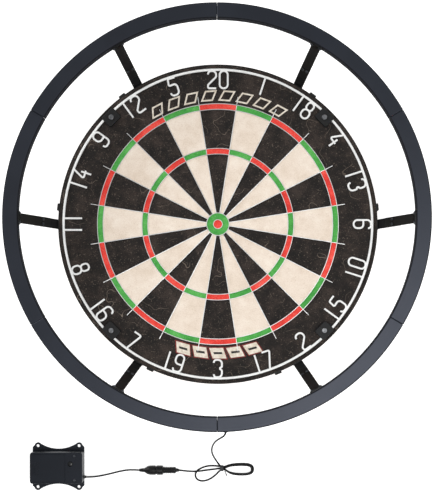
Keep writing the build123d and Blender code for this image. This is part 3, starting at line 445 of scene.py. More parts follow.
pack_abs = moulded("spark_grained_abs", "#0a0d10", "#101418", 0.45, 0.9 * MM, 0.05 * MM, patch=25 * MM,
                   Specular_Tint=paint("#e2e8fb"), Specular_IOR_Level=0.3)
button_rubber = moulded("silicone_button", "#08090a", "#111214", 0.2, 0.8 * MM, 0.02 * MM, patch=5 * MM)
grommet_rubber = moulded("rubber_grommet", "#090909", "#141414", 0.6, 0.8 * MM, 0.02 * MM, patch=5 * MM)
pad_foam = moulded("closed_cell_foam", "#26272a", "#34363a", 0.85, 1.4 * MM, 0.2 * MM, patch=8 * MM)
opal_acrylic = moulded("opal_acrylic", "#e4e6e4", "#f2f3f0", 0.35, 1.5 * MM, 0.01 * MM, IOR=1.49,
                       Subsurface_Weight=0.25, Subsurface_Scale=3 * MM)
tape_white = moulded("white_flexible_circuit", "#dcdcd2", "#efeee6", 0.45, 1.5 * MM, 0.02 * MM, patch=6 * MM)
number_enamel = moulded("white_baked_enamel", "#ededeb", "#fafaf8", 0.32, 1.0 * MM, 0.01 * MM, patch=12 * MM,
                        Coat_Weight=0.3)
tie_paper = moulded("coated_paper_tie", "#0e0e11", "#1c1c20", 0.55, 0.5 * MM, 0.03 * MM, patch=4 * MM)
print("blacks, whites and rubbers mixed")

# %% [markdown]
# ## Bare and plated metal
# The spider is bright drawn wire, the screws are zinc plated, and the contacts are nickel. A metal keeps the
# default IOR: its colour is its reflection. Drawn wire has long fine scratches and plating has cloudy
# patches, both of which mostly change the gloss.

# %% Recipe for a metal
def metal(name, dull, bright, roughness, patch):
    material, tree, shader, place = new_finish(name, Metallic=1.0)
    clouds = grain(tree, place, patch, detail=5.0).outputs["Fac"]
    tree.links.new(ramp(tree, clouds, (0.3, dull), (0.7, bright)), shader.inputs["Base Color"])
    tree.links.new(spread(tree, clouds, roughness + 0.12, roughness - 0.06), shader.inputs["Roughness"])
    relief(tree, shader, clouds, 0.01 * MM)
    return material


spider_steel = metal("bright_drawn_steel_wire", "#dddddc", "#f4f4f2", 0.42, 5 * MM)
zinc = metal("zinc_plated_steel", "#9a9ca0", "#cfd2d6", 0.3, 4 * MM)
black_zinc = metal("black_zinc_screws", "#2c2d30", "#606368", 0.32, 2 * MM)
dull_zinc = metal("dulled_zinc_clip_screws", "#5d5e60", "#8a8b8d", 0.42, 2 * MM)
nickel = metal("nickel_plate", "#a59e90", "#d6cfc0", 0.25, 4 * MM)

# %% Chipboard, circuit laminate and cell cans
CHIP = 5 * MM
CELL_REACH = 46.6 * MM


def chipboard():
    """Flakes of wood pressed with resin: each cell of a Voronoi pattern is one flake, with its own tone."""
    material, tree, shader, place = new_finish("resin_pressed_chipboard", Roughness=0.8)
    stretched = add(tree, "Mapping", {"Vector": place, "Scale": (1.0, 0.45, 1.0), "Rotation": (0, 0, 0.5)})
    flakes = add(tree, "TexVoronoi", {"Vector": stretched.outputs[0], "Scale": 1 / CHIP, "Randomness": 1.0})
    tone = add(tree, "SeparateColor", {"Color": flakes.outputs["Color"]})
    tree.links.new(ramp(tree, tone.outputs[0], (0.0, "#8f6b43"), (0.5, "#b48c5d"), (1.0, "#d3b184")),
                   shader.inputs["Base Color"])
    relief(tree, shader, flakes.outputs["Distance"], 0.2 * MM)
    return material


def circuit_laminate():
    material, tree, shader, place = new_finish("green_solder_mask", Roughness=0.35, Coat_Weight=0.3)
    weave = add(tree, "TexBrick", {"Vector": place, "Scale": 1 / (9 * MM), "Color1": paint("#1d5a35"),
                                   "Color2": paint("#236a3f"), "Mortar": paint("#c2a35a"), "Mortar Size": 0.02})
    tree.links.new(weave.outputs["Color"], shader.inputs["Base Color"])
    relief(tree, shader, weave.outputs["Fac"], 0.02 * MM)
    return material


def cell_can():
    """A printed sleeve: a copper-coloured band at one end of a dark body, along the cell."""
    material, tree, shader, place = new_finish("printed_cell_sleeve", Roughness=0.3, Metallic=0.6)
    centred = add(tree, "Mapping", {"Vector": place, "Location": (-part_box("battery_cells")[0].x, 0, 0)})
    along = add(tree, "SeparateXYZ", {"Vector": centred.outputs[0]})
    share = add(tree, "MapRange", {"Value": along.outputs["X"], "From Max": CELL_REACH})
    bands = ramp(tree, share.outputs["Result"], (0.0, "#8d9196"), (0.25, "#b8743a"), (0.29, "#1b2430"),
                 (0.96, "#8d9196"))
    tree.links.new(bands, shader.inputs["Base Color"])
    scuffs = grain(tree, place, 2 * MM).outputs["Fac"]
    tree.links.new(spread(tree, scuffs, 0.22, 0.42), shader.inputs["Roughness"])
    return material


coat(chipboard(), "backing_board")
coat(circuit_laminate(), "circuit_board")
coat(cell_can(), "battery_cells")
coat(zinc, "wall_bracket", "hanger_screw")
coat(dull_zinc, "number_clip_screws")
coat(black_zinc, "arm_screws", "foot_screws", "pack_screws")
coat(nickel, "plug_barrel", "socket_contact", "contact_springs", "contact_plates")
coat(pad_foam, "wall_pads")
coat(opal_acrylic, "ring_diffusers")
coat(tape_white, "led_strips")
coat(clip_nylon, "number_clips", "ring_joiners", "rim_lugs")
coat(number_enamel, "number_hoop", "number_digits")
coat(grommet_rubber, "ring_gland", "pack_gland")
coat(lead_pvc, ring_lead, pack_lead)
print("CAD pieces that keep their shape now have their finishes")

# %% [markdown]
# ## Lighting ring
# The ring is six curved channels moulded in ABS: an outer wall, a flat front, a short inner wall that hides
# the lamps from a player's eyes, and a flange at the back that holds the diffuser. A turned shape is best
# made by spinning its section, so the section is drawn once, filled, and spun over one segment's span. Its
# moulded edges are then rounded, and a small notch is cut where two segments meet. The face is satin and
# mirrors the light in a soft sheen. Its rims are matt, and painted near black as a thin line of painted shade.

# %% Spin one segment and copy it round
RING_W = 20.5 * MM
RING_WALL = 1.8 * MM
INNER_WALL_H = 11.5 * MM
FLANGE_W = 9.0 * MM
SEAM_GAP = 0.2 * MM
NOTCH = 1.2 * MM
SPIN_STEPS = 40
SEGMENT_SPAN = 360.0 / SEGMENTS
RIM_START, RIM_END = 1.7 * MM, 0.9 * MM      # where the matt rim begins and is full, from the face's edge
PATCH = 60 * MM


def satin_shell():
    """Black ABS with a satin face, whose rims are matt and painted near black as a thin painted shade."""
    material, tree, shader, place = new_finish("satin_abs_shell", Specular_Tint=paint("#e2e8fb"),
                                               Specular_IOR_Level=0.6)
    level = add(tree, "VectorMath", {0: place, 1: (1.0, 1.0, 0.0)}, operation="MULTIPLY")
    radius = add(tree, "VectorMath", {0: level.outputs[0]}, operation="LENGTH").outputs["Value"]
    middle = add(tree, "Math", {0: radius, 1: RING_R - RING_W / 2}, operation="SUBTRACT")
    aside = add(tree, "Math", {0: middle.outputs[0]}, operation="ABSOLUTE")
    rim_matt_and_painted_shade = add(tree, "MapRange", {"Value": aside.outputs[0], "From Min": RING_W / 2 - RIM_START,
                                 "From Max": RING_W / 2 - RIM_END}).outputs["Result"]
    patches = grain(tree, place, PATCH, detail=3.0).outputs["Fac"]
    face = ramp(tree, patches, (0.35, "#0f1217"), (0.7, "#14181e"))
    # Painted shade: the rims are painted near black, for the thin dark line along the face's edges.
    colour = add(tree, "Mix", {0: rim_matt_and_painted_shade, 6: face, 7: paint("#020203")}, data_type="RGBA")
    tree.links.new(colour.outputs[2], shader.inputs["Base Color"])
    satin = spread(tree, patches, 0.34, 0.48)
    gloss = add(tree, "Mix", {0: rim_matt_and_painted_shade, 2: satin, 3: 0.95}, data_type="FLOAT")
    tree.links.new(gloss.outputs[0], shader.inputs["Roughness"])
    relief(tree, shader, grain(tree, place, 0.7 * MM, detail=2.0).outputs["Fac"], 0.02 * MM)
    return material


def ring_segment():
    outer, inner = RING_R, RING_R - RING_W
    wall, front, back = RING_WALL, RING_FRONT_Z, RING_BACK_Z
    section = [(outer, back), (outer, front), (inner, front), (inner, front - INNER_WALL_H),
               (inner + wall, front - INNER_WALL_H), (inner + wall, front - wall), (outer - wall, front - wall),
               (outer - wall, back + wall), (outer - FLANGE_W, back + wall), (outer - FLANGE_W, back)]
    half = SEGMENT_SPAN / 2 - SEAM_GAP / 2 / radians(1) / RING_R
    piece = draw_face("ring_shell_1", [polar(r, -half, z) for r, z in section])
    bpy.ops.mesh.spin(steps=SPIN_STEPS, angle=radians(2 * half), center=(0, 0, 0), axis=(0, 0, 1))
    bpy.ops.object.mode_set(mode="OBJECT")
    tidy(piece)
    soften(piece, 0.9 * MM, segments=3, corner=50)
    for end in (-SEGMENT_SPAN / 2, SEGMENT_SPAN / 2):
        middle = Vector((RING_R, 0, RING_FRONT_Z))
        half_box = Vector((NOTCH, NOTCH, RING_WALL * 2)) / 2
        cutter = turned_copy(block("notch", middle - half_box, middle + half_box), "notch_cutter", end)
        bpy.data.objects.remove(bpy.data.objects["notch"], do_unlink=True)
        cut(piece, cutter)
    return tidy(piece)


ring_abs = satin_shell()
shell = ring_segment()
shells = [shell] + [turned_copy(shell, f"ring_shell_{i + 1}", i * SEGMENT_SPAN) for i in range(1, SEGMENTS)]
for i, piece in enumerate(shells):
    coat(ring_abs, piece)
    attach(piece, "dartboard")
    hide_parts(f"ring_segment_{i + 1}")
print(len(shells), "ring shells of", len(shell.data.polygons), "faces")

# %% [markdown]
# ## Arms
# Each arm is two strips of flat steel. The lower one hooks under the board, runs up its edge and leans out,
# and the upper one is screwed to its back and ends in a wider foot inside the ring. A strip is sheet metal,
# so it is drawn as its bent centre line, its bends are rounded by bevelling the vertices, the line is drawn
# out to the strip's width, and Solidify gives it the gauge.

# %% Bend the two strips of an arm
ARM_W = 13.5 * MM
ARM_SLOPE = radians(60.5)
BRACKET_T = 1.6 * MM
STRUT_T = 1.8 * MM
HOOK_REACH = 19.0 * MM
HOOK_GAP = 0.1 * MM
BRACKET_RUN = 48.0 * MM
STRUT_START = 18.0 * MM
FOOT_W = 19.0 * MM
FOOT_TOP_GAP = 0.9 * MM
BEND = 2.0 * MM
BEND_R = BOARD_R + HOOK_GAP + BRACKET_T / 2
BEND_Z = FACE_Z + BRACKET_T / 2
FOOT_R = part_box("arm_strut_1")[1].x - STRUT_T / 2


def on_slope(distance, lift=0.0):
    """A point up the lower strip's centre line, lifted square to it."""
    return (BEND_R + cos(ARM_SLOPE) * distance - sin(ARM_SLOPE) * lift,
            BEND_Z + sin(ARM_SLOPE) * distance + cos(ARM_SLOPE) * lift)


def bent_strip(name, points, thickness, foot=None):
    """Sheet metal along (radius, height) points. foot is (lowest height, half width) of a wider end."""
    piece = draw_path(name, [(r, -ARM_W / 2, z) for r, z in points])
    ends = (points[0], points[-1])
    choose(piece, "verts", lambda v: all(hypot(v.co.x - r, v.co.z - z) > MM / 10 for r, z in ends)
           and (foot is None or v.co.z < foot[0] - MM / 10))
    bpy.ops.mesh.bevel(offset=BEND, affect="VERTICES", segments=4)
    bpy.ops.mesh.select_all(action="SELECT")
    bpy.ops.mesh.extrude_region_move(TRANSFORM_OT_translate={"value": (0, ARM_W, 0)})
    if foot:
        for side in (-1, 1):
            choose(piece, "edges", lambda e: all(v.co.z > foot[0] - MM / 10 and side * v.co.y > ARM_W / 2 - MM / 10
                                                 for v in e.verts))
            reach = side * (foot[1] - ARM_W / 2)
            bpy.ops.mesh.extrude_region_move(TRANSFORM_OT_translate={"value": (0, reach, 0)})
        choose(piece, "verts", lambda v: abs(v.co.y) > foot[1] - MM / 10)
        bpy.ops.mesh.bevel(offset=2 * MM, affect="VERTICES", segments=4)
    bpy.ops.object.mode_set(mode="OBJECT")
    tidy(piece)
    modify(piece, "SOLIDIFY", thickness=thickness, offset=0.0, use_even_offset=True)
    soften(piece, 0.3 * MM, corner=50)
    return tidy(piece)


def arm_bracket():
    low_z = BACK_Z - HOOK_GAP - BRACKET_T / 2
    return bent_strip("arm_strip_1", [(BEND_R - HOOK_REACH, low_z), (BEND_R, low_z), (BEND_R, BEND_Z),
                                      on_slope(BRACKET_RUN)], BRACKET_T)


def arm_strut():
    lift = (BRACKET_T + STRUT_T) / 2
    turn = on_slope((FOOT_R - BEND_R + sin(ARM_SLOPE) * lift) / cos(ARM_SLOPE), lift)
    foot_low = turn[1] + 3 * MM
    top = RING_FRONT_Z - FOOT_TOP_GAP
    return bent_strip("arm_foot_strip_1", [on_slope(STRUT_START, lift), turn, (FOOT_R, foot_low), (FOOT_R, top)],
                      STRUT_T, foot=(foot_low, FOOT_W / 2))


for maker, finish, node, slot in ((arm_bracket, arm_coat, "arm_bracket", "arm_steel"),
                                  (arm_strut, strut_coat, "arm_strut", "arm_plastic")):
    first = maker()
    stem = first.name[:-2]
    arms = [first] + [turned_copy(first, f"{stem}_{i + 1}", i * SEGMENT_SPAN) for i in range(1, SEGMENTS)]
    for i, piece in enumerate(arms):
        coat(finish, piece)
        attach(piece, "dartboard")
        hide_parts(f"{node}_{i + 1}")
    print(len(arms), stem, "of", len(first.data.polygons), "faces")

# %% [markdown]
# ## Band round the board
# A steel strip is rolled round the sisal to keep it in compression. Its two edges are rolled over into a
# narrow bead, which is the thin line of light along the board's edge. It is one more turned shape: a section
# spun all the way round, with the seam's doubles merged.

# %% Spin the band
BAND_T = 1.5 * MM
BEAD_H = 3.0 * MM
BEAD_PROUD = 0.4 * MM
ROUND_STEPS = 160


def spun(name, section, steps=ROUND_STEPS):
    """A closed (radius, height) section spun once round the board's axis."""
    piece = draw_path(name, [(r, 0, z) for r, z in section] + [(section[0][0], 0, section[0][1])])
    bpy.ops.mesh.remove_doubles(threshold=1e-6)
    bpy.ops.mesh.select_all(action="SELECT")
    bpy.ops.mesh.spin(steps=steps, angle=2 * pi, center=(0, 0, 0), axis=(0, 0, 1))
    bpy.ops.object.mode_set(mode="OBJECT")
    return tidy(piece)


inner_r, wall_r = BOARD_R - BAND_T, BOARD_R - BEAD_PROUD
band = spun("rolled_rim_band", [
    (inner_r, BACK_Z), (BOARD_R, BACK_Z), (BOARD_R, BACK_Z + BEAD_H), (wall_r, BACK_Z + BEAD_H + BEAD_PROUD),
    (wall_r, FACE_Z - BEAD_H - BEAD_PROUD), (BOARD_R, FACE_Z - BEAD_H), (BOARD_R, FACE_Z), (inner_r, FACE_Z)])
tidy(soften(band, 0.35 * MM, segments=2, corner=35))
coat(band_coat, band)
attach(band, "dartboard")
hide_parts("rim_band")
print("band of", len(band.data.polygons), "faces")

# %% [markdown]
# ## Spider
# The spider is the wire web that divides the beds: four hoops, twenty straight wires that run out past the
# double, and two small hoops at the bull. The wire is flat-sided with a rounded crown. The hoops are spun
# from a section with a rounded top, and one straight wire is modelled from a block and copied round.

# %% Spin the hoops and lay the straight wires
TREBLE_R = (99.0 * MM, 107.0 * MM)
DOUBLE_R = (162.0 * MM, 170.0 * MM)
BULL_R, OUTER_BULL_R = 6.35 * MM, 15.9 * MM
WIRE_W, WIRE_CROWN = 1.1 * MM, 0.35 * MM
WIRE_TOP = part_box("spider_grid")[1].z
WIRE_END_R = 181.5 * MM


def wire_hoop(name, radius, steps=120):
    half, shoulder = WIRE_W / 2, WIRE_TOP - WIRE_CROWN
    section = [(radius - half, FACE_Z), (radius - half, shoulder), (radius - half * 0.5, WIRE_TOP),
               (radius + half * 0.5, WIRE_TOP), (radius + half, shoulder), (radius + half, FACE_Z)]
    return spun(name, section, steps)


def straight_wire():
    start = OUTER_BULL_R + WIRE_W / 2
    wire = block("straight_wire", (start, -WIRE_W / 2, FACE_Z), (WIRE_END_R, WIRE_W / 2, WIRE_TOP))
    bpy.ops.object.mode_set(mode="EDIT")
    choose(wire, "edges", lambda e: all(v.co.z > FACE_Z + MM / 10 for v in e.verts))
    bpy.ops.mesh.bevel(offset=WIRE_CROWN, segments=2, affect="EDGES")
    bpy.ops.object.mode_set(mode="OBJECT")
    return tidy(wire)


wires = all_round(straight_wire(), "straight_wires", SECTORS, first=180.0 / SECTORS)
hoops = [wire_hoop(f"hoop_{i}", radius) for i, radius in enumerate(TREBLE_R + DOUBLE_R)]
spider = joined("spider_wires", hoops + [wires])
bull_hoops = joined("bull_hoops", [wire_hoop("bull_hoop", BULL_R, 48),
                                   wire_hoop("outer_bull_hoop", OUTER_BULL_R, 64)])
for piece, node in ((spider, "spider_grid"), (bull_hoops, "bull_rings")):
    coat(spider_steel, piece)
    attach(piece, "dartboard")
    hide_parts(node)
print("spider of", len(spider.data.polygons), "faces")

# %% [markdown]
# ## Printed marks
# The black border carries two printed decorations, above and below the scoring beds. Here they are plain
# motifs: a row of slanted outlined bars at the top, and a row of solid slanted bars with a dark slot and a
# red edge at the bottom. Ink has almost no thickness, so each mark is a sliver 0.1 mm thick. An outlined bar
# is a face whose inset middle is deleted.

# %% Print the two rows
INK_T = 0.10 * MM
UNDER_INK_T = 0.05 * MM
TOP_BARS, TOP_STEP = 8, 8.0          # how many, and degrees between them
LOW_BARS, LOW_STEP = 5, 7.8


def slanted_bar(name, width, r_low, r_high, lean, thickness, outline=None):
    """One bar at the top of the board, leaning to the right by a distance."""
    left, right_edge = -width / 2, width / 2
    corners = [(left - lean / 2, r_low, FACE_Z), (right_edge - lean / 2, r_low, FACE_Z),
               (right_edge + lean / 2, r_high, FACE_Z), (left + lean / 2, r_high, FACE_Z)]
    piece = draw_face(name, corners)
    if outline:
        bpy.ops.mesh.inset(thickness=outline)
        bpy.ops.mesh.delete(type="FACE")
        bpy.ops.mesh.select_all(action="SELECT")
    bpy.ops.mesh.extrude_region_move(TRANSFORM_OT_translate={"value": (0, 0, thickness)})
    bpy.ops.object.mode_set(mode="OBJECT")
    return tidy(piece)


def row_of(name, bar, angles):
    copies = [turned_copy(bar, f"{name}_{i}", angle) for i, angle in enumerate(angles)]
    bpy.data.objects.remove(bar, do_unlink=True)
    return joined(name, copies)


top_angles = [(i - (TOP_BARS - 1) / 2) * TOP_STEP for i in range(TOP_BARS)]
top_marks = row_of("printed_outline_bars", slanted_bar("bar", 17 * MM, 174 * MM, 189 * MM, 7 * MM, INK_T, 2.2 * MM),
                   top_angles)
low_angles = [180.0 + (i - (LOW_BARS - 1) / 2) * LOW_STEP for i in range(LOW_BARS)]
low_edges = row_of("printed_red_edges", slanted_bar("bar", 22.5 * MM, 173.2 * MM, 190.8 * MM, -6 * MM, UNDER_INK_T),
                   low_angles)
low_marks = row_of("printed_solid_bars", slanted_bar("bar", 19.5 * MM, 174.6 * MM, 189.4 * MM, -5 * MM, INK_T),
                   low_angles)
low_slots = row_of("printed_dark_slots", slanted_bar("bar", 12 * MM, 180.4 * MM, 183.4 * MM, -1 * MM, INK_T * 1.5),
                   low_angles)
cream_ink = moulded("cream_screen_ink", "#cfc3b0", "#efe6d8", 0.75, 1.0 * MM, 0.05 * MM, patch=3 * MM)
red_ink = moulded("dark_red_screen_ink", "#5d1715", "#8f2420", 0.75, 1.0 * MM, 0.05 * MM, patch=3 * MM)
black_ink = moulded("black_screen_ink", "#1b1716", "#2b2523", 0.8, 1.0 * MM, 0.05 * MM, patch=3 * MM)
for piece, finish in ((top_marks, cream_ink), (low_edges, red_ink), (low_marks, cream_ink), (low_slots, black_ink)):
    coat(finish, piece)
    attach(piece, "dartboard")
print("two rows of printed bars")

# %% [markdown]
# ## Plug, socket and tie
# Both halves of the connector are turned shapes moulded over the lead: the plug has shallow grip rings and
# tapers onto its lead, and the socket has one groove round its mouth. Each is half an outline from the axis
# to the axis, spun about that axis. The twist tie is a flat strip of paper over a wire, folded round the
# hank and twisted into a short tail.

# %% Spin the connector
plug_low, plug_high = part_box("plug_shell")
socket_low, socket_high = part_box("socket_shell")
AXIS_Y, AXIS_Z = (plug_low.y + plug_high.y) / 2, (plug_low.z + plug_high.z) / 2
BARREL_R, BARREL_GAP = 2.75 * MM, 0.08 * MM
GRIP_RINGS, GRIP_PITCH, GRIP_DEPTH = 5, 2.6 * MM, 0.55 * MM


def spun_on_connector(name, outline, steps=40):
    """Half an outline, as (x, radius) points, spun about the connector's axis."""
    piece = draw_path(name, [(x, AXIS_Y, AXIS_Z + r) for x, r in outline])
    bpy.ops.mesh.spin(steps=steps, angle=2 * pi, center=(0, AXIS_Y, AXIS_Z), axis=(1, 0, 0))
    bpy.ops.object.mode_set(mode="OBJECT")
    tidy(piece)
    soften(piece, 0.18 * MM, corner=40)
    return tidy(piece, smooth=45)


def plug_body():
    radius = (plug_high.z - plug_low.z) / 2
    x0, x1 = plug_low.x, plug_high.x
    outline = [(x0 + 4 * MM, 0), (x0 + 4 * MM, BARREL_R), (x0, BARREL_R), (x0, radius - 0.3 * MM),
               (x0 + 0.6 * MM, radius)]
    for i in range(GRIP_RINGS):
        x = x0 + 3.0 * MM + i * GRIP_PITCH
        outline += [(x, radius), (x + 0.35 * MM, radius - GRIP_DEPTH), (x + 0.95 * MM, radius - GRIP_DEPTH),
                    (x + 1.3 * MM, radius)]
    outline += [(x1 - 5.6 * MM, radius), (x1 - 4.0 * MM, 2.9 * MM), (x1, 2.0 * MM), (x1, 0)]
    return spun_on_connector("ribbed_plug", outline)


def socket_body():
    radius = (socket_high.z - socket_low.z) / 2
    x0, x1 = socket_low.x, socket_high.x
    groove = x1 - 10 * MM
    bore_r, bore_end = BARREL_R + BARREL_GAP, plug_low.x - 11 * MM
    outline = [(x0, 0), (x0, 2.1 * MM), (x0 + 5 * MM, 2.8 * MM), (x0 + 7.6 * MM, 3.0 * MM), (x0 + 12 * MM, 5.9 * MM),
               (x0 + 15 * MM, 6.6 * MM), (x0 + 18 * MM, radius), (groove - 1.2 * MM, radius),
               (groove - 0.7 * MM, radius - 0.9 * MM), (groove + 0.7 * MM, radius - 0.9 * MM),
               (groove + 1.2 * MM, radius), (x1 - 0.7 * MM, radius), (x1, radius - 0.7 * MM), (x1, bore_r),
               (bore_end, bore_r), (bore_end, 0)]
    return spun_on_connector("tapered_socket", outline)


plug, socket = plug_body(), socket_body()
print("plug", len(plug.data.polygons), "faces, socket", len(socket.data.polygons), "faces")


# %% Fold the tie and twist its tail
tie_low, tie_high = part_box("hank_tie")
TAIL_START = Vector((9.6, -355.6, 3.0)) * MM
TAIL_STEP = Vector((0.55, -1.35, -0.22)) * MM
TAIL_STEPS, TAIL_TWIST = 6, 48


def twist_tie():
    loop = block("tie_loop", tie_low, tie_high)
    bpy.ops.object.mode_set(mode="EDIT")
    choose(loop, "edges", lambda e: abs(e.verts[0].co.x - e.verts[1].co.x) > 2 * MM)
    bpy.ops.mesh.bevel(offset=2.3 * MM, segments=5, affect="EDGES")
    choose(loop, "faces", lambda f: abs(f.normal.x) > 0.9)
    bpy.ops.mesh.inset(thickness=0.7 * MM)
    bpy.ops.object.mode_set(mode="OBJECT")
    soften(loop, 0.2 * MM, corner=50)
    tail = draw_face("tie_tail", [TAIL_START + Vector(p) * MM for p in
                                  ((-0.9, 0, -0.25), (0.9, 0, -0.25), (0.9, 0, 0.25), (-0.9, 0, 0.25))])
    here = TAIL_START.copy()
    for _ in range(TAIL_STEPS):
        bpy.ops.mesh.extrude_region_move(TRANSFORM_OT_translate={"value": TAIL_STEP})
        here += TAIL_STEP
        bpy.ops.transform.rotate(value=radians(TAIL_TWIST), orient_axis="Y", center_override=here)
    bpy.ops.object.mode_set(mode="OBJECT")
    return tidy(joined("twist_tie", [tidy(loop), tidy(tail)]), smooth=50)


tie = twist_tie()
coat(connector_pvc, plug, socket)
coat(tie_paper, tie)
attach(plug, "dartboard")
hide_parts("plug_shell")
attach(tie, "dartboard")
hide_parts("hank_tie")
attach(socket, "battery_pack")
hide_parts("socket_shell")

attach(ring_lead, "dartboard")
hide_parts("ring_lead", "lead_hank", "lead_loop", "lead_tail")
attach(pack_lead, "battery_pack")
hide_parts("pack_lead")

# %% [markdown]
# ## Battery pack
# The pack is a box for three cells on a base plate with four screw ears. Its plate is an outline with round
# ears, raised to its thickness and drilled. The housing starts as a block with rounded corners: the cell bay
# is cut from above, the electronics' room from below, and then the grooves, the button's hole and the screw
# wells. The sliding cover and the button are separate pieces.

# %% Base plate
base_low, base_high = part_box("pack_base")
house_low, house_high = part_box("pack_housing")
PACK_X, PACK_Y = (base_low.x + base_high.x) / 2, (base_low.y + base_high.y) / 2
PACK_L, PACK_W = house_high.x - house_low.x, house_high.y - house_low.y
PACK_TOP = house_high.z
BASE_T = house_low.z
EAR_REACH = 30.0 * MM
EAR_R = 4.9 * MM
EAR_HOLE_R = 2.25 * MM
EAR_TURNS_AT = 43                    # degrees round an ear, where the waist's long curve begins
WAIST = PACK_W / 2 + 3.1 * MM


def in_pack(x, y, z=0.0):
    return Vector((PACK_X + x, PACK_Y + y, z))


def ear_outline():
    """Four round ears joined by straight ends and by long sides that curve in to a waist."""
    meets = (EAR_REACH - EAR_R * cos(radians(EAR_TURNS_AT)), EAR_REACH + EAR_R * sin(radians(EAR_TURNS_AT)))
    rise = meets[1] - WAIST
    radius = (meets[0] ** 2 + rise ** 2) / (2 * rise)
    half = atan2(meets[0], radius - rise)
    quarter = [(EAR_REACH + EAR_R * cos(radians(a)), EAR_REACH + EAR_R * sin(radians(a)))
               for a in range(12, 138, 15)]
    side = [(radius * sin(half * (1 - i / 8)), WAIST + radius - radius * cos(half * (1 - i / 8))) for i in range(8)]
    corner = [(PACK_L / 2, EAR_REACH - EAR_R * 0.4)] + quarter + side
    upper = corner + [(0.0, WAIST)] + [(-x, y) for x, y in reversed(corner)]
    return upper + [(-x, -y) for x, y in upper]


def base_plate():
    piece = draw_face("pack_base_plate", [in_pack(x, y) for x, y in ear_outline()])
    bpy.ops.mesh.extrude_region_move(TRANSFORM_OT_translate={"value": (0, 0, BASE_T)})
    bpy.ops.object.mode_set(mode="OBJECT")
    tidy(piece)
    for x in (-EAR_REACH, EAR_REACH):
        for y in (-EAR_REACH, EAR_REACH):
            cut(piece, rod("drill", in_pack(x, y, -MM), (0, 0, 1), EAR_HOLE_R, BASE_T + 2 * MM))
    soften(piece, 0.45 * MM, corner=50)
    return tidy(piece)


plate = base_plate()
print("base plate of", len(plate.data.polygons), "faces")

# %% Housing, cover and button
PACK_WALL = 2.4 * MM
TOP_T = 1.8 * MM
DIVIDER_X, DIVIDER_T = 13.0 * MM, 1.2 * MM
cover_low, cover_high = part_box("pack_cover")
button_low, button_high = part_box("power_button")
BUTTON_X, BUTTON_Y = (button_low.x + button_high.x) / 2 - PACK_X, (button_low.y + button_high.y) / 2 - PACK_Y
BUTTON_R, BUTTON_HOLE_R, BUTTON_FLANGE_R, STEM_R = 3.4 * MM, 3.8 * MM, 4.3 * MM, 1.5 * MM
BUTTON_FLANGE_Z = (PACK_TOP - 3.3 * MM, PACK_TOP - 2.1 * MM)
CORNER_R, TOP_EDGE_R = 3.0 * MM, 1.0 * MM
SCREW_X, SCREW_Y = 26.5 * MM, PACK_W / 2 - 5.1 * MM
SCREW_WELL_R, SCREW_BORE_R, BOSS_R = 2.15 * MM, 1.12 * MM, 3.0 * MM
LEAD_Y, LEAD_Z, LEAD_HOLE_R = -15.0 * MM, 6.2 * MM, 2.2 * MM
SLIDE_GAP = 0.3 * MM
GROOVE_LOW, GROOVE_HIGH = PACK_TOP - 2.0 * MM, PACK_TOP - 0.8 * MM


def pack_block(name, x0, x1, half_y, z0, z1):
    return block(name, in_pack(x0, -half_y, z0), in_pack(x1, half_y, z1))


def housing():
    half_l, half_w = PACK_L / 2, PACK_W / 2
    in_l, in_w = half_l - PACK_WALL, half_w - PACK_WALL
    piece = pack_block("pack_case", -half_l, half_l, half_w, BASE_T, PACK_TOP)
    bpy.ops.object.mode_set(mode="EDIT")
    choose(piece, "edges", lambda e: abs(e.verts[0].co.z - e.verts[1].co.z) > 5 * MM)
    bpy.ops.mesh.bevel(offset=CORNER_R, segments=5, affect="EDGES")
    choose(piece, "edges", lambda e: all(v.co.z > PACK_TOP - MM / 10 for v in e.verts))
    bpy.ops.mesh.bevel(offset=TOP_EDGE_R, segments=3, affect="EDGES")
    bpy.ops.object.mode_set(mode="OBJECT")
    cut(piece,
        pack_block("bay", -in_l, DIVIDER_X, in_w, BASE_T - MM, PACK_TOP + MM),
        pack_block("room", DIVIDER_X + DIVIDER_T, in_l, in_w, BASE_T - MM, PACK_TOP - TOP_T),
        pack_block("mouth", -half_l - MM, -in_l + 0.01 * MM, in_w, cover_low.z - SLIDE_GAP, PACK_TOP + MM),
        pack_block("grooves", -half_l - MM, DIVIDER_X, (cover_high.y - cover_low.y) / 2 + SLIDE_GAP,
                   GROOVE_LOW, GROOVE_HIGH),
        rod("button_hole", in_pack(BUTTON_X, BUTTON_Y, PACK_TOP - 3 * MM), (0, 0, 1), BUTTON_HOLE_R, 5 * MM, 40),
        rod("gland_hole", in_pack(in_l - MM, LEAD_Y, LEAD_Z), (1, 0, 0), LEAD_HOLE_R, PACK_WALL + 2 * MM))
    for side in (-1, 1):
        boss = rod("boss", in_pack(SCREW_X, side * SCREW_Y, BASE_T), (0, 0, 1), BOSS_R,
                   PACK_TOP - BASE_T - TOP_T / 2, 24)
        cut(piece, boss, operation="UNION")
        cut(piece, rod("well", in_pack(SCREW_X, side * SCREW_Y, PACK_TOP - 1.2 * MM), (0, 0, 1), SCREW_WELL_R,
                       3 * MM, 24),
            rod("bore", in_pack(SCREW_X, side * SCREW_Y, PACK_TOP - 16 * MM), (0, 0, 1), SCREW_BORE_R, 16 * MM, 16))
    soften(piece, 0.18 * MM, corner=55)
    return tidy(piece)


def sliding_cover():
    tongue_half = (cover_high.y - cover_low.y) / 2
    plate_half = tongue_half - 0.9 * MM
    x0, x1 = cover_low.x - PACK_X, cover_high.x - PACK_X
    piece = pack_block("cell_cover", x0, x1, plate_half, cover_low.z, PACK_TOP)
    ridges = [pack_block("ridge", x, x + 0.9 * MM, plate_half * 0.45, PACK_TOP - 0.35 * MM, PACK_TOP + MM)
              for x in [x0 + (4 + 2 * i) * MM for i in range(5)]]
    cut(piece, *ridges)
    tongues = pack_block("tongues", x0 + 1.5 * MM, x1, tongue_half, PACK_TOP - 1.7 * MM, PACK_TOP - 1.1 * MM)
    cut(piece, tongues, operation="UNION")
    soften(piece, 0.16 * MM, corner=50)
    return tidy(piece)


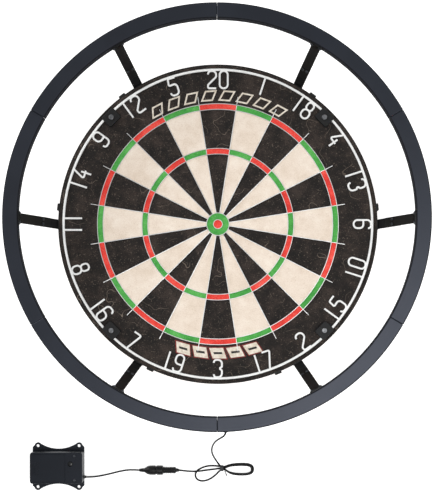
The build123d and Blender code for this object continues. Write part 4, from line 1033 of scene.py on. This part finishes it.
def button():
    """A domed cap over a flange that keeps it in its hole, and a stem that reaches the switch."""
    flange_low, flange_high = BUTTON_FLANGE_Z
    outline = [(0, button_low.z), (STEM_R, button_low.z), (STEM_R, flange_low), (BUTTON_FLANGE_R, flange_low),
               (BUTTON_FLANGE_R, flange_high), (BUTTON_R, flange_high), (BUTTON_R, button_high.z - 0.8 * MM),
               (BUTTON_R - 0.7 * MM, button_high.z - 0.15 * MM), (BUTTON_R * 0.5, button_high.z), (0, button_high.z)]
    centre = in_pack(BUTTON_X, BUTTON_Y)
    piece = draw_path("domed_button", [(centre.x + r, centre.y, z) for r, z in outline])
    bpy.ops.mesh.spin(steps=40, angle=2 * pi, center=centre, axis=(0, 0, 1))
    bpy.ops.object.mode_set(mode="OBJECT")
    tidy(piece)
    soften(piece, 0.2 * MM, corner=35)
    return tidy(piece, smooth=45)


for piece, finish, body, node, slot in (
        (plate, pack_abs, "battery_pack", "pack_base", "pack_abs"),
        (housing(), pack_abs, "battery_pack", "pack_housing", "pack_abs"),
        (sliding_cover(), pack_abs, "battery_cover", "pack_cover", "pack_abs"),
        (button(), button_rubber, "power_button", "power_button", "button_rubber")):
    coat(finish, piece)
    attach(piece, body)
    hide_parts(node)
    print(piece.name, "of", len(piece.data.polygons), "faces")

# %% [markdown]
# ## Light and floor
# A product like this is lit in a white tent: light comes from everywhere and shadows all but vanish. The
# world gives that even light, a softbox far up on the left models the wires, and a second one, over the lower
# right, is what the satin ring mirrors on that side. The floor is pale and glows a little, so it stays clean.
# From below, the floor is clear, so that the back of the board can be seen too.

# %% Floor
FLOOR_SIZE, FLOOR_GLOW = 14.0, 0.62
TENT_STRENGTH = 0.46


def floor():
    bpy.ops.object.select_all(action="DESELECT")
    bpy.ops.mesh.primitive_plane_add(size=FLOOR_SIZE, location=(0, 0, -0.3 * MM))
    piece = bpy.context.object
    piece.name = "floor"
    material, tree, shader, place = new_finish("pale_floor", Roughness=0.9)
    shader.inputs["Base Color"].default_value = paint("#f6f6f5")
    shader.inputs["Specular IOR Level"].default_value = 0.0
    shader.inputs["Emission Color"].default_value = paint("#ffffff")
    shader.inputs["Emission Strength"].default_value = FLOOR_GLOW
    below = add(tree, "NewGeometry").outputs["Backfacing"]
    clear = add(tree, "BsdfTransparent")
    sides = add(tree, "MixShader", {0: below, 1: shader.outputs[0], 2: clear.outputs[0]})
    tree.links.new(sides.outputs[0], tree.nodes["Material Output"].inputs["Surface"])
    piece.data.materials.append(material)


def softbox(name, at, towards, size, power):
    bpy.ops.object.light_add(type="AREA", location=at)
    lamp = bpy.context.object
    lamp.name = name
    lamp.data.shape = "RECTANGLE"
    lamp.data.size, lamp.data.size_y = size
    lamp.data.energy = power
    lamp.rotation_euler = (Vector(towards) - Vector(at)).to_track_quat("-Z", "Y").to_euler()


floor()
world = bpy.data.worlds.new("white_tent")
bpy.context.scene.world = world
world.use_nodes = True
world.node_tree.nodes["Background"].inputs["Color"].default_value = paint("#f7f8fa")
world.node_tree.nodes["Background"].inputs["Strength"].default_value = TENT_STRENGTH
softbox("upper_left_softbox", (-2.2, 1.6, 1.6), (0, 0, 0.05), (1.2, 1.2), 36)
softbox("lower_right_softbox", (0.40, -0.50, 1.5), (0.1, -0.1, 0.1), (1.35, 0.85), 14.5)
bpy.context.scene.view_settings.view_transform = "Standard"
